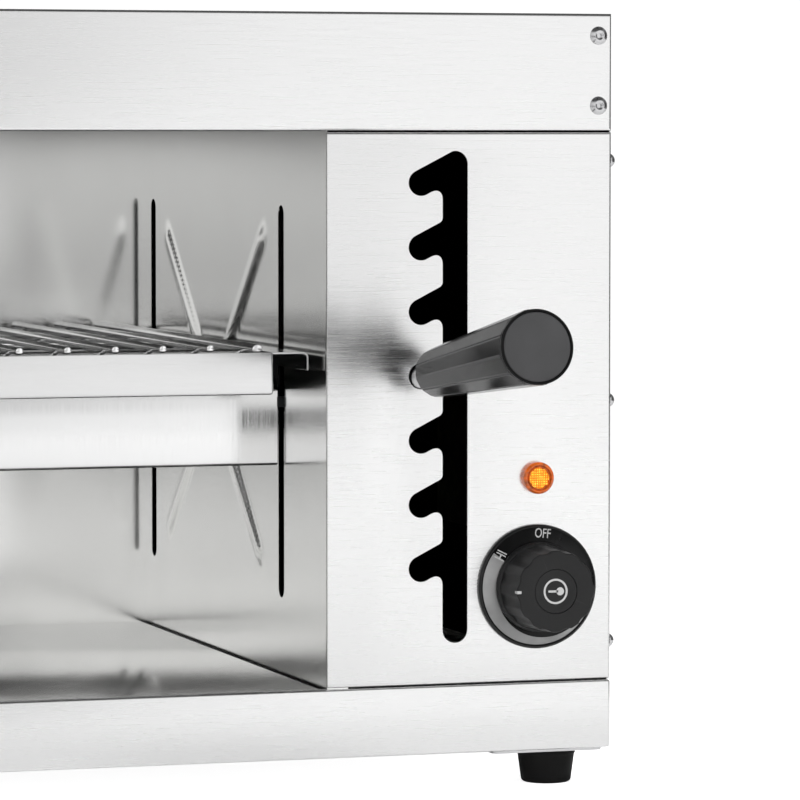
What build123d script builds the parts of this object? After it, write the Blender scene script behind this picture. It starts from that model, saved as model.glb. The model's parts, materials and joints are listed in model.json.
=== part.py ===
"""Countertop salamander grill: an open-fronted sheet-metal cavity under a heated hood, with a rack that
a side handle sets in one of seven notches. Millimetres, +Z up, the open front faces -Y.

The parts are laid out from the lower left front corner of the control panel, then moved together so that
the finished object is centred over the origin and stands on Z = 0.
"""
import os
from math import atan, cos, degrees, radians, sin, tan

from build123d import *

# Housing
sheet = 1.0
joint_gap = 0.3
box_width = 162.8
cavity_width = 460.0
left_wall_width = 18.0
depth = 400.0
panel_height = 301.0
fascia_height = 64.0
plinth_height = 37.8
fold_r = 0.9
flange_depth = 12.0
rear_wall_y = 384.0
reflector_z = 344.0

# Feet
foot_plate_t = 1.6
foot_plate_offset = 6.0
foot_height = 18.9
foot_top_r = 16.2
foot_bottom_r = 13.6
foot_inset_x = 29.2
foot_inset_y = 24.0

# Comb slot and its notches
channel_x = 72.5
channel_width = 14.1
channel_bottom_z = 30.0
channel_top_z = 283.2
notch_x = 53.1
notch_count = 7
notch_pitch = 34.9
rest_notch_z = 168.4
rod_drop = 0.5
notch_width = 14.0
notch_slope = 27.0
tooth_lower_r = 3.0
tooth_upper_r = 4.5

# Handle
rod_r = 6.1
handle_tilt = 7.4
pivot_y = 110.0
grip_start = 136.8
grip_end = 301.2
grip_rear_r = 12.9
grip_front_r = 19.3
grip_flats = 12
cap_r = 17.8
eye_r = 8.2
pin_r = 3.0

# Rack, tray and grid
slot_front_y = 88.0
slot_rear_y = 363.0
slot_width = 11.0
slot_mid_z = 150.85
tab_height = 6.0
tab_t = 2.0
rack_bottom_z = 115.6
tray_bottom_z = 158.7
tray_top_z = 181.6
tray_front_y = 19.0
tray_rear_y = 374.0
tray_side_gap = 24.4
tray_flange_gap = 4.4
tray_flange_drop = 10.0
tray_flange_bend_r = 3.0
grid_wire_r = 2.1
grid_edge_r = 3.0
grid_edge_gap = 8.1
grid_bars = 14
grid_top_z = 186.0
rail_bar_r = 3.0
grid_cross_z = grid_top_z - 2 * grid_wire_r - rail_bar_r + 0.6

# Controls
knob_x = 119.5
knob_z = 52.4
bezel_r = 34.0
bezel_bore_r = 20.0
knob_base_r = 24.6
knob_rear_r = 23.2
knob_front_r = 22.2
knob_recess_r = 12.1
knob_front_y = -32.0
knob_scallops = 12
lamp_x = 119.7
lamp_z = 111.9
lamp_rim_r = 8.75
shaft_r = 3.0
gland_x = 110.0
gland_z = 62.0
rivet_x = 155.0
rivet_levels = (353.0, 314.9)
side_screw_levels = (285.0, 153.5, 21.0)
side_screw_y = 4.7
side_screw_head = (4.0, 3.3)
rivet_head = (5.0, 2.4)
rivet_hole_r = 1.5
rear_screw_levels = (30.0, 182.0, 334.0)

# Heating elements
element_r = 3.3
element_z = 318.0
element_centres = (80.0, 200.0, 320.0)
element_half_span = 30.0
element_bend_x = -405.0
element_end_x = 44.0
hanger_levels = (-390.0, -215.0)

# Guide rods of the lifting carriage
guide_r = 5.0
guide_x = 34.0
guide_front_y = 150.0
guide_rear_y = 330.0
running_clearance = 0.05
carriage_z = (132.0, 176.0)

cavity_left = -cavity_width
left_x = cavity_left - left_wall_width
top_z = panel_height + fascia_height
centre_x = (box_width + left_x) / 2
carriage_travel = (notch_count // 2) * notch_pitch


def box(x0, x1, y0, y1, z0, z1):
    """A block between two opposite corners."""
    middle = ((x0 + x1) / 2, (y0 + y1) / 2, (z0 + z1) / 2)
    return Pos(*middle) * Box(x1 - x0, y1 - y0, z1 - z0)


def turned(profile_r, start, end, direction=(0, 0, 1)):
    """A round bar of one radius from the point start along a direction to a length end."""
    bar = Pos(0, 0, end / 2) * Cylinder(profile_r, end)
    return Plane(origin=start, z_dir=direction).location * bar


def mirrored(shape):
    """The same shape on the other side of the housing's middle plane."""
    return mirror(shape, about=Plane.YZ.offset(centre_x))


def front_sketch_plane(y):
    """A plane facing the user, local x to the right and local y upward."""
    return Plane(origin=(0, y, 0), x_dir=(1, 0, 0), z_dir=(0, -1, 0))


def domed_screw(head_r, head_h, shank_r, shank):
    """A domed head standing on Z = 0 over its shank."""
    sphere_r = (head_r ** 2 + head_h ** 2) / (2 * head_h)
    ball = Pos(0, 0, head_h - sphere_r) * Sphere(sphere_r)
    head = ball & box(-head_r, head_r, -head_r, head_r, 0, head_h)
    return head + Pos(0, 0, -shank / 2) * Cylinder(shank_r, shank)


def at(point, direction, shape):
    """The shape moved so that its own Z axis starts at the point and runs along the direction."""
    return Plane(origin=point, z_dir=direction).location * shape


def group(shapes):
    """Several separate solids kept as one node."""
    return Compound(children=list(shapes))


# ---------------------------------------------------------------- housing sheets

def hood():
    """Fascia, roof, side returns and turned-in lower lip of the hood, folded from one sheet."""
    fascia = box(left_x, box_width, 0, sheet, panel_height, top_z)
    roof = box(left_x + sheet, box_width - sheet, 0, depth - sheet, top_z - sheet, top_z)
    lip = box(left_x + flange_depth, box_width - flange_depth - 3, 0, flange_depth, panel_height,
              panel_height + sheet)
    right_return = box(box_width - sheet, box_width, 0, flange_depth, panel_height, top_z)
    left_return = box(left_x, left_x + sheet, 0, flange_depth, panel_height, top_z)
    shell = fascia + roof + lip + right_return + left_return
    corners = shell.edges().filter_by(Axis.Z).filter_by_position(Axis.Y, -0.01, 0.01)
    shell = fillet(corners.sort_by(Axis.X)[0::len(corners) - 1], 1.1 * fold_r)
    folds = shell.edges().filter_by(Axis.X).filter_by_position(Axis.Y, -0.01, 0.01).sort_by(Axis.Z)
    shell = fillet(folds[-1], fold_r)
    for x, z in rivet_points():
        shell -= turned(2.7, (x, -1, z), 4, (0, 1, 0))
    return shell


def rivet_points():
    """Where the fascia is riveted to the two side covers."""
    points = [(rivet_x, z) for z in rivet_levels]
    return points + [(2 * centre_x - x, z) for x, z in points]


def side_cover():
    """Right-hand cover with its front flange behind the fascia and its rear flange."""
    outer = box_width - sheet
    inner = outer - sheet
    top = top_z - sheet
    side = box(inner, outer, sheet, depth - sheet, -0.5, top)
    front = box(outer - 14, outer, sheet, 2 * sheet, panel_height + 2, top)
    rear = box(outer - flange_depth, outer, depth - 2 * sheet, depth - sheet, 1, top)
    cover = side + front + rear
    for i in range(6):
        cover -= side_vent(outer, 150 + 26 * i)
    for z in side_screw_levels:
        cover -= turned(2.1, (inner - 1, side_screw_y, z), 4, (1, 0, 0))
    for z in rivet_levels:
        cover -= turned(2.7, (rivet_x, 0, z), 4, (0, 1, 0))
    for z in rear_screw_levels:
        cover -= turned(2.1, (outer - 6, depth - 4, z), 6, (0, 1, 0))
    return cover


def side_vent(outer, y):
    """One upright vent slot through a side cover."""
    slot = extrude(Plane(origin=(outer - 3, y, 120), x_dir=(0, 0, 1), z_dir=(1, 0, 0))
                   * SlotOverall(90, 3.4), 6)
    return slot


def comb_slot():
    """Outline of the upright channel with its seven sloping notches."""
    height = channel_top_z - channel_bottom_z
    channel = Pos(channel_x, (channel_top_z + channel_bottom_z) / 2) * Rot(0, 0, 90) \
        * SlotCenterToCenter(height, channel_width)
    run = channel_x - notch_x
    rise = run * tan(radians(notch_slope))
    outline = channel
    for i in range(notch_count):
        z = rest_notch_z + (i - notch_count // 2) * notch_pitch
        notch = Pos((notch_x + channel_x) / 2, z + rise / 2) * Rot(0, 0, notch_slope) \
            * SlotCenterToCenter(run / cos(radians(notch_slope)), notch_width)
        outline += notch
    edge_x = channel_x - channel_width / 2
    corners = outline.vertices().filter_by_position(Axis.X, edge_x - 0.2, edge_x + 0.2).sort_by(Axis.Y)
    corners = [v for v in corners if channel_bottom_z + 5 < v.Y < channel_top_z - 8]
    lower = corners[0::2]
    upper = corners[1::2]
    outline = fillet(lower, tooth_upper_r)
    upper_now = [nearest_vertex(outline, v) for v in upper]
    return fillet(upper_now, tooth_lower_r)


def nearest_vertex(sketch, vertex):
    """The sketch's vertex closest to a given one."""
    return min(sketch.vertices(), key=lambda v: (v.X - vertex.X) ** 2 + (v.Y - vertex.Y) ** 2)


def control_panel():
    """Front plate of the control box, wrapped round its right edge, with a return at top and bottom."""
    bottom = joint_gap
    top = panel_height - joint_gap
    plate = box(0, box_width, 0, sheet, bottom, top)
    wrap = box(box_width - sheet, box_width, 0, flange_depth, bottom, top)
    panel = plate + wrap
    for z in (bottom, top - sheet):
        panel += box(flange_depth + 2, box_width - 2.2 * sheet, 0, flange_depth, z, z + sheet)
    corner = panel.edges().filter_by(Axis.Z).sort_by(lambda e: e.center().Y - e.center().X)[0]
    panel = fillet(corner, fold_r)
    panel -= extrude(front_sketch_plane(2 * sheet) * comb_slot(), 4)
    panel -= turned(6.0, (knob_x, -1, knob_z), 4, (0, 1, 0))
    panel -= turned(6.4, (lamp_x, -1, lamp_z), 4, (0, 1, 0))
    for x, z in regulator_screw_points():
        panel -= turned(2.1, (x, -1, z), 4, (0, 1, 0))
    for z in side_screw_levels:
        panel -= turned(2.1, (box_width - 3, side_screw_y, z), 6, (1, 0, 0))
    return panel


def left_front_post():
    """Narrow plate that closes the left wall, wrapped round the left edge."""
    bottom = joint_gap
    top = panel_height - joint_gap
    plate = box(left_x, cavity_left, 0, sheet, bottom, top)
    wrap = box(left_x, left_x + sheet, 0, flange_depth, bottom, top)
    post = plate + wrap
    corner = post.edges().filter_by(Axis.Z).sort_by(lambda e: e.center().Y + e.center().X)[0]
    post = fillet(corner, fold_r)
    for z in side_screw_levels:
        post -= turned(2.1, (left_x - 3, side_screw_y, z), 6, (1, 0, 0))
    return post


def wall_slot(y):
    """Upright slot that a rack tab travels in."""
    length = 2 * carriage_travel + tab_height + 3
    sketch = Plane(origin=(-3, y, slot_mid_z), x_dir=(0, 0, 1), z_dir=(1, 0, 0)) \
        * SlotOverall(length, slot_width)
    return extrude(sketch, 6)


def cross_bead():
    """Two crossing stiffening ribs raised from the wall towards the cavity."""
    ribs = []
    for (y0, z0), (y1, z1) in (((336, 245), (122, 54.5)), ((117, 248.5), (335, 55))):
        length = ((y1 - y0) ** 2 + (z1 - z0) ** 2) ** 0.5
        angle = degrees(atan((z1 - z0) / (y1 - y0)))
        plane = Plane(origin=(0.5, (y0 + y1) / 2, (z0 + z1) / 2), x_dir=(0, 1, 0), z_dir=(-1, 0, 0))
        ribs.append(extrude(plane * (Rot(0, 0, -angle if plane.y_dir.Z < 0 else angle)
                                     * SlotOverall(length, 15)), 1.9, taper=50))
    return ribs[0] + ribs[1]


def inner_wall():
    """Right-hand cavity wall, with a front flange behind the panel and a foot flange on the floor."""
    sheet_part = box(0, sheet, sheet, rear_wall_y, -0.5, reflector_z + sheet)
    front = box(0, 13, sheet, 2 * sheet, joint_gap, panel_height - 2)
    foot = box(0, 13, 16, rear_wall_y, -0.5, 0.5)
    wall = sheet_part + front + foot
    wall -= box(-1, 2, 0, flange_depth + 2, panel_height - 1, top_z)
    wall += cross_bead()
    for y in (slot_front_y, slot_rear_y):
        wall -= wall_slot(y)
    return wall


def right_inner_wall():
    """The control-box side wall, pierced for the heating elements and the thermal cut-out."""
    wall = inner_wall()
    for y in element_legs():
        wall -= turned(element_r + 0.5, (-2, y, element_z), 6, (1, 0, 0))
    return wall


def cavity_rear_wall():
    """Back of the cavity with a foot flange turned rearward."""
    sheet_part = box(cavity_left, 0, rear_wall_y, rear_wall_y + sheet, -0.5, reflector_z + sheet)
    foot = box(cavity_left, 0, rear_wall_y, rear_wall_y + flange_depth, -0.5, 0.5)
    return sheet_part + foot


def cavity_floor():
    """Flat floor lying on the plinth's inner flange."""
    return box(left_x + sheet + 0.2, box_width - sheet - 0.2, sheet + 0.2, depth - sheet - 0.2,
               -0.5 - sheet, -0.5)


def base_plinth():
    """Folded tray that carries the floor, with an inner flange round its open top."""
    outer = box(left_x, box_width, 0, depth, -plinth_height, -joint_gap)
    rims = outer.edges().filter_by(Axis.Z)
    outer = fillet(rims, fold_r)
    outer = fillet(outer.edges().filter_by_position(Axis.Z, -plinth_height, -plinth_height), fold_r * 0.8)
    hollow = box(left_x + sheet, box_width - sheet, sheet, depth - sheet, -plinth_height + sheet, 0)
    ledge = box(left_x + sheet, box_width - sheet, sheet, depth - sheet, -2.5, -1.5)
    ledge -= box(left_x + 14, box_width - 14, 14, depth - 14, -5, 0)
    plinth = outer - hollow + ledge
    for x, y in foot_points():
        plinth -= turned(3.2, (x, y, -plinth_height - 2), 5)
    return plinth


def rear_panel():
    """Back sheet with vents behind the control box and the hood, and the cable gland's hole."""
    panel = box(left_x + sheet, box_width - sheet, depth - sheet, depth, joint_gap, top_z - sheet - 0.2)
    for i in range(7):
        z = 170 + 16 * i
        panel -= rear_vent(82, z, 84)
    for i in range(5):
        panel -= rear_vent(-400 + 85 * i, 335, 60)
    panel -= turned(8.1, (gland_x, depth - 4, gland_z), 8, (0, 1, 0))
    for x, z in rear_screw_points():
        panel -= turned(2.1, (x, depth - 4, z), 8, (0, 1, 0))
    return panel


def rear_vent(x, z, length):
    """One level vent slot through the back sheet."""
    return extrude(front_sketch_plane(depth + 2) * (Pos(x, z) * SlotOverall(length, 3.4)), 6)


def rear_screw_points():
    """Screws that hold the back sheet to the side covers' rear flanges."""
    right = box_width - sheet - 6
    return [(x, z) for x in (right, 2 * centre_x - right) for z in rear_screw_levels]


# ---------------------------------------------------------------- feet

def foot_points():
    """Plan positions of the four feet."""
    right = box_width - foot_inset_x
    left = left_x + foot_inset_x
    return [(left, foot_inset_y), (right, foot_inset_y), (left, depth - foot_inset_y),
            (right, depth - foot_inset_y)]


def foot():
    """Tapered rubber foot with a rounded lower rim and a recess for its bolt head."""
    cone = Pos(0, 0, -foot_height / 2) * Cone(foot_bottom_r, foot_top_r, foot_height)
    cone = fillet(cone.edges().sort_by(Axis.Z)[0], 1.6)
    cone -= Pos(0, 0, -foot_height + 3) * Cylinder(6.2, 6.01)
    cone -= Pos(0, 0, -foot_height / 2) * Cylinder(3.2, foot_height + 1)
    return cone


def foot_plate(x, y):
    """Thin steel plate between the plinth and a foot, longer on the side towards the middle."""
    inward = -1 if x > centre_x else 1
    plate = Pos(foot_plate_offset * inward, 0, -foot_plate_t / 2) * Box(64, 42, foot_plate_t)
    plate = fillet(plate.edges().filter_by(Axis.Z), 4) - Cylinder(3.2, 6)
    return Pos(x, y, -plinth_height) * plate


def foot_bolt():
    """Bolt up through a foot, with its nut inside the plinth."""
    head_bottom = -foot_height - foot_plate_t + 2
    head = Pos(0, 0, head_bottom + 2) * Cylinder(5.5, 4)
    shank = Pos(0, 0, (head_bottom + 8) / 2) * Cylinder(3.0, 8 - head_bottom)
    nut = Pos(0, 0, sheet) * extrude(RegularPolygon(5.6, 6), 5)
    return head + shank + nut


# ---------------------------------------------------------------- hood interior

def heat_reflector():
    """Channel-shaped reflector that spans the cavity above the elements."""
    top = box(cavity_left, 0, 16, rear_wall_y, reflector_z, reflector_z + sheet)
    front = box(cavity_left, 0, 16, 17, panel_height + 3, reflector_z)
    rear = box(cavity_left, 0, rear_wall_y - sheet, rear_wall_y, panel_height + 3, reflector_z)
    return top + front + rear


def insulation_blanket():
    """Mineral-fibre blanket filling the space between the reflector and the roof."""
    return box(cavity_left + 4, -4, 18, rear_wall_y - 4, reflector_z + sheet, top_z - 2 * sheet)


def element_legs():
    """Y of every straight heater leg."""
    return [c + s * element_half_span for c in element_centres for s in (-1, 1)]


def heating_element(centre_y):
    """One hairpin tube: two legs joined by a half-circle bend at the left."""
    front = centre_y - element_half_span
    rear = centre_y + element_half_span
    leg = turned(element_r, (element_bend_x, front, element_z), element_end_x - element_bend_x, (1, 0, 0))
    other = turned(element_r, (element_bend_x, rear, element_z), element_end_x - element_bend_x, (1, 0, 0))
    ring = Torus(element_half_span, element_r) & box(-60, 0, -60, 60, -10, 10)
    bend = Pos(element_bend_x, centre_y, element_z) * ring
    return leg + bend + other


def element_hangers():
    """Two perforated strips that hang from the reflector and carry the elements."""
    strips = []
    for x in hanger_levels:
        strip = box(x, x + 1.5, 30, 370, element_z - 7, reflector_z)
        for y in element_legs():
            strip -= turned(element_r + 0.4, (x - 2, y, element_z), 6, (1, 0, 0))
        strips.append(strip)
    return group(strips)


def element_ferrules():
    """Collars that close the element holes on the control-box side of the wall."""
    collar = Pos(0, 0, 2) * Cylinder(7, 4) - Cylinder(element_r + 0.1, 20)
    return group([at((sheet, y, element_z), (1, 0, 0), collar) for y in element_legs()])


def element_terminals():
    """Ceramic bead and threaded stud at every element end."""
    stud = Pos(0, 0, 3) * Cylinder(4.4, 6) + Pos(0, 0, 12) * Cylinder(2, 12)
    return group([at((element_end_x, y, element_z), (1, 0, 0), stud) for y in element_legs()])


def thermal_cutout():
    """Disc thermostat with two tabs, fixed to the wall between the elements."""
    disc = Pos(0, 0, 4) * Cylinder(8, 8) + Pos(0, 0, 10) * Cylinder(5, 4)
    tabs = box(-4, 4, -3, -2, 12, 18) + box(-4, 4, 2, 3, 12, 18)
    return at((sheet, 260, 334), (1, 0, 0), disc + tabs)


# ---------------------------------------------------------------- electrical parts

def terminal_block():
    """Ceramic block with six clamps, standing on the floor near the back."""
    block = box(84, 150, 340, 366, -0.5, 20)
    for i in range(3):
        block -= turned(3.1, (95 + 22 * i, 347, 8), 20)
        block -= turned(3.1, (95 + 22 * i, 359, 8), 20)
    return block


def terminal_screws():
    """Clamp screws of the terminal block."""
    screw = Pos(0, 0, 5) * Cylinder(3.0, 10) - box(-4, 4, -0.4, 0.4, 9, 11)
    return group([Pos(95 + 22 * i, y, 8) * screw for i in range(3) for y in (347, 359)])


def cable_gland():
    """Hexagonal gland with its dome and its thread through the back sheet."""
    hexagon = extrude(RegularPolygon(12, 6), 6)
    dome = Pos(0, 0, 9) * Cone(9.5, 7.5, 6)
    thread = Pos(0, 0, -6) * Cylinder(8.0, 12)
    body = hexagon + dome + thread - Cylinder(4.5, 60)
    return at((gland_x, depth, gland_z), (0, 1, 0), body)


def gland_nut():
    """Lock nut on the gland's thread inside the back sheet."""
    nut = extrude(RegularPolygon(11.5, 6), 4) - Cylinder(8.05, 20)
    return at((gland_x, depth - sheet - 4, gland_z), (0, 1, 0), nut)


def regulator_screw_points():
    return [(knob_x - 14, knob_z), (knob_x + 14, knob_z)]


def energy_regulator():
    """Moulded regulator body behind the panel, with spade terminals at its back."""
    body = box(knob_x - 21, knob_x + 21, sheet, 36, knob_z - 18, knob_z + 18)
    body -= turned(shaft_r + 0.06, (knob_x, -1, knob_z), 18, (0, 1, 0))
    for x in (-14, -5, 5, 14):
        body += box(knob_x + x - 0.4, knob_x + x + 0.4, 36, 45, knob_z - 3, knob_z + 3)
    for x, z in regulator_screw_points():
        body -= turned(1.9, (x, 0, z), 10, (0, 1, 0))
    return body


def regulator_screws():
    """Two screws through the panel into the regulator, hidden under the knob."""
    screw = domed_screw(3.2, 1.6, 1.85, 8)
    return group([at((x, 0, z), (0, -1, 0), screw) for x, z in regulator_screw_points()])


def knob_bezel():
    """Fixed scale ring round the knob, with a sloped outer rim."""
    ring = Pos(0, 0, 1.4) * Cylinder(bezel_r, 2.8) - Cylinder(bezel_bore_r, 10)
    ring = chamfer(ring.edges().filter_by(GeomType.CIRCLE).group_by(Axis.Z)[-1].sort_by(SortBy.LENGTH)[-1],
                   1.2)
    return at((knob_x, 0, knob_z), (0, -1, 0), ring)


def knob():
    """Knob with a base flange, a tapered scalloped grip and a round recess in its face."""
    reach = -knob_front_y
    base = Pos(0, 0, 5) * Cylinder(knob_base_r, 3.6)
    grip_length = reach - 5
    grip = Pos(0, 0, 5 + grip_length / 2) * Cone(knob_rear_r, knob_front_r, grip_length)
    grip = fillet(grip.edges().group_by(Axis.Z)[-1], 0.8)
    lean = degrees(atan((knob_rear_r - knob_front_r) / grip_length))
    for i in range(knob_scallops):
        flute = Pos(knob_front_r + 8.1, 0, reach) * Rot(0, -lean, 0) * Pos(0, 0, -10) * Cylinder(9, 36)
        grip -= Rot(0, 0, (i + 0.5) * 360 / knob_scallops) * flute
    body = base + grip
    body -= Pos(0, 0, reach) * Cylinder(knob_recess_r, 3)
    body -= Pos(0, 0, 11) * Cylinder(shaft_r + 0.03, 22)
    body -= pointer_cut(0.0)
    return at((knob_x, 0, knob_z), (0, -1, 0), body)


def pointer_cut(clearance):
    """The groove for the pointer, on the side of the grip and over its front edge."""
    reach = -knob_front_y
    return box(-knob_rear_r - 2, -knob_front_r + 2.4, -0.9 - clearance, 0.9 + clearance, reach - 8, reach + 1)


def knob_pointer():
    """White pointer let into the grip at nine o'clock."""
    reach = -knob_front_y
    bar = box(-knob_front_r - 0.15, -knob_front_r + 2.4, -0.9, 0.9, reach - 7.9, reach + 0.1)
    return at((knob_x, 0, knob_z), (0, -1, 0), bar)


def knob_cap():
    """Disc let into the middle of the knob's face."""
    reach = -knob_front_y
    disc = Pos(0, 0, reach - 0.9) * Cylinder(knob_recess_r - 0.1, 1.2)
    return at((knob_x, 0, knob_z), (0, -1, 0), disc)


def regulator_shaft():
    """Shaft that the knob turns inside the regulator."""
    return turned(shaft_r, (knob_x, 14, knob_z), 36, (0, -1, 0))


def pilot_lamp_lens():
    """Amber lens with a round rim and a raised middle."""
    rim = Pos(0, 0, 1.5) * Cylinder(lamp_rim_r, 3)
    rim = fillet(rim.edges().group_by(Axis.Z)[-1], 1.2)
    middle = Pos(0, 0, 3.4) * Cylinder(6.0, 3)
    middle = fillet(middle.edges().group_by(Axis.Z)[-1], 1.2)
    return at((lamp_x, 0, lamp_z), (0, -1, 0), rim + middle)


def pilot_lamp_body():
    """Lamp barrel through the panel with its clip ring and two spade terminals."""
    barrel = Pos(0, 0, 13) * Cylinder(6.2, 26)
    clip = Pos(0, 0, sheet + 1.5) * Cylinder(9, 3)
    tabs = box(-0.4, 0.4, -4, -1, 26, 33) + box(-0.4, 0.4, 1, 4, 26, 33)
    return at((lamp_x, 0, lamp_z), (0, 1, 0), barrel + clip + tabs)


# ---------------------------------------------------------------- fasteners on the outside

def fascia_rivets():
    """Blind rivets at the ends of the fascia, each with a hole in its dome."""
    rivet = domed_screw(*rivet_head, 2.6, 4) - Cylinder(rivet_hole_r, 12)
    return group([at((x, 0, z), (0, -1, 0), rivet) for x, z in rivet_points()])


def side_screws():
    """Domed screws that hold the wrapped edges of the front plates to the side covers."""
    screw = domed_screw(*side_screw_head, 2.0, 5)
    right = [at((box_width, side_screw_y, z), (1, 0, 0), screw) for z in side_screw_levels]
    left = [at((left_x, side_screw_y, z), (-1, 0, 0), screw) for z in side_screw_levels]
    return group(right + left)


def rear_screws():
    """Domed screws of the back sheet."""
    screw = domed_screw(3.8, 2.4, 2.0, 5)
    return group([at((x, depth, z), (0, 1, 0), screw) for x, z in rear_screw_points()])


# ---------------------------------------------------------------- lifting carriage

def guide_rod(y):
    """Upright round bar between the two guide brackets."""
    return turned(guide_r, (guide_x, y, 2.5), 290.5)


def guide_bracket_lower():
    """Bar on the floor with a socket for each guide rod."""
    bar = box(guide_x - 11, guide_x + 11, guide_front_y - 15, guide_rear_y + 15, -0.5, 8)
    for y in (guide_front_y, guide_rear_y):
        bar -= turned(guide_r + 0.03, (guide_x, y, 2.5), 12)
    return bar


def guide_bracket_upper():
    """Angle fixed to the cavity wall, holding the tops of the guide rods."""
    shelf = box(sheet, guide_x + 11, guide_front_y - 15, guide_rear_y + 15, 288, 291)
    upright = box(sheet, sheet + 3, guide_front_y - 15, guide_rear_y + 15, 291, 308)
    angle = shelf + upright
    for y in (guide_front_y, guide_rear_y):
        angle -= turned(guide_r + 0.03, (guide_x, y, 280), 20)
    return angle


def bearing_block(y):
    """Block that slides on one guide rod."""
    block = box(guide_x - 12, guide_x + 11, y - 11, y + 11, *carriage_z)
    return block - turned(guide_r + running_clearance, (guide_x, y, carriage_z[0] - 1), 60)


def carriage_plate():
    """Upright plate that joins the bearing blocks and is screwed to the rack's tabs by two ears."""
    inner = guide_x - 14
    outer = guide_x - 12
    front = slot_front_y + tab_t / 2
    rear = slot_rear_y + tab_t / 2
    plate = box(inner, outer, front, rear + 2, carriage_z[0], carriage_z[1])
    front_ear = box(6, outer, front, front + 2, 142, 160)
    rear_ear = box(6, outer, rear, rear + 2, 142, 160)
    plate = plate + front_ear + rear_ear
    for y in (front - 1, rear - 1):
        plate -= turned(1.65, (11, y, slot_mid_z), 6, (0, 1, 0))
    return plate


def rack_tab(y, wall_x, outward):
    """Tab that passes through a wall slot and widens behind it."""
    neck = box(min(wall_x - 3 * outward, wall_x + 4 * outward), max(wall_x - 3 * outward, wall_x + 4 * outward),
               y - tab_t / 2, y + tab_t / 2, slot_mid_z - tab_height / 2, slot_mid_z + tab_height / 2)
    near = wall_x + 3 * outward
    far = wall_x + 13 * outward
    head = box(min(near, far), max(near, far), y - tab_t / 2, y + tab_t / 2, 144.5, 157.2)
    return neck + head


def rack_carrier():
    """Shelf folded from sheet: top, deep front and rear skirts, side lips and four tabs."""
    left = cavity_left + 2.2
    right = -2.2
    front = slot_front_y - tab_t / 2
    rear = slot_rear_y + tab_t / 2
    top = box(left, right, front, rear, tray_bottom_z - 1.5, tray_bottom_z)
    front_skirt = box(left, right, front, front + tab_t, rack_bottom_z, tray_bottom_z)
    rear_skirt = box(left, right, rear - tab_t, rear, rack_bottom_z, tray_bottom_z)
    lips = box(left, left + 1.5, front, rear, tray_bottom_z - 14, tray_bottom_z)
    lips += box(right - 1.5, right, front, rear, tray_bottom_z - 14, tray_bottom_z)
    shelf = top + front_skirt + rear_skirt + lips
    fold = shelf.edges().filter_by(Axis.X).filter_by_position(Axis.Z, tray_bottom_z, tray_bottom_z)
    shelf = fillet(fold.sort_by(Axis.Y)[0], 1.2)
    for y in (slot_front_y, slot_rear_y):
        tab = rack_tab(y, 0, 1) - turned(1.65, (11, y - 3, slot_mid_z), 6, (0, 1, 0))
        shelf += tab
        shelf += rack_tab(y, cavity_left, -1)
    for i in range(5):
        shelf -= box(-420 + 80 * i, -360 + 80 * i, 120, 331, tray_bottom_z - 3, tray_bottom_z + 1)
    return shelf


def arm_screws():
    """Screws with nuts that join the rack's tabs to the carriage."""
    screw = domed_screw(2.9, 1.8, 1.55, 6)
    nut = Pos(0, 0, -6.2) * extrude(RegularPolygon(3.1, 6), 2.2)
    bolt = screw + nut
    return group([at((11, y - tab_t / 2, slot_mid_z), (0, -1, 0), bolt) for y in (slot_front_y, slot_rear_y)])


# ---------------------------------------------------------------- handle

tilt = radians(handle_tilt)
slope = radians(notch_slope)
rod_axis = Vector(0, -cos(tilt), sin(tilt))
swing_side = Vector(cos(slope), tan(tilt) * sin(slope), sin(slope)).normalized()
pivot_axis = rod_axis.cross(swing_side)
pivot_point = Vector(notch_x, pivot_y, rest_notch_z - rod_drop - pivot_y * tan(tilt))


def in_handle_frame(shape):
    """Place a shape built with the rod along X and the pivot axis along Z."""
    return Plane(origin=pivot_point, x_dir=rod_axis, z_dir=pivot_axis).location * shape


def handle_bracket():
    """Clevis on the carriage that carries the handle's pivot pin."""
    cheeks = in_handle_frame(box(-16, 10, -12, 12, -13, 13))
    foot_block = box(guide_x - 12, 46, pivot_y + 8, pivot_y + 20, 140, 168)
    block = cheeks + foot_block
    block -= in_handle_frame(box(-9.5, 40, -16, 30, -6.7, 6.7))
    return block - in_handle_frame(Cylinder(pin_r + 0.03, 60))


def pivot_pin():
    """Headed pin through the clevis and the handle's eye."""
    pin = Cylinder(pin_r, 29) + Pos(0, 0, 14) * Cylinder(4.6, 1.6)
    return in_handle_frame(pin)


def handle_rod():
    """Steel rod from the pivot eye out through the comb slot and into the grip."""
    eye = Cylinder(eye_r, 12.4)
    length = grip_end - 12
    rod = Rot(0, 90, 0) * Pos(0, 0, length / 2) * Cylinder(rod_r, length)
    return in_handle_frame(eye + rod - Cylinder(pin_r + running_clearance, 60))


def handle_grip():
    """Tapered grip with twelve flats, a rounded rear end and a round front rim."""
    length = grip_end - grip_start
    body = Pos(0, 0, length / 2) * Cone(grip_rear_r, grip_front_r, length)
    body = fillet(body.edges().group_by(Axis.Z)[0], 4.5)
    rear = Plane.XY.offset(-1) * RegularPolygon(grip_rear_r * 0.978, grip_flats, major_radius=False)
    front = Plane.XY.offset(length + 1) * RegularPolygon(grip_front_r * 0.978, grip_flats, major_radius=False)
    flats = body & loft([rear, front])
    rim = Pos(0, 0, length - 1.25) * Cylinder(grip_front_r, 2.5)
    rim = fillet(rim.edges().group_by(Axis.Z)[-1], 0.6)
    grip = flats + rim
    grip -= Pos(0, 0, length) * Cylinder(cap_r + 0.1, 3)
    grip -= Pos(0, 0, (length - 12) / 2 - 5) * Cylinder(rod_r + 0.04, length - 12 + 10)
    return in_handle_frame(Rot(0, 90, 0) * Pos(0, 0, grip_start) * grip)


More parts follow.
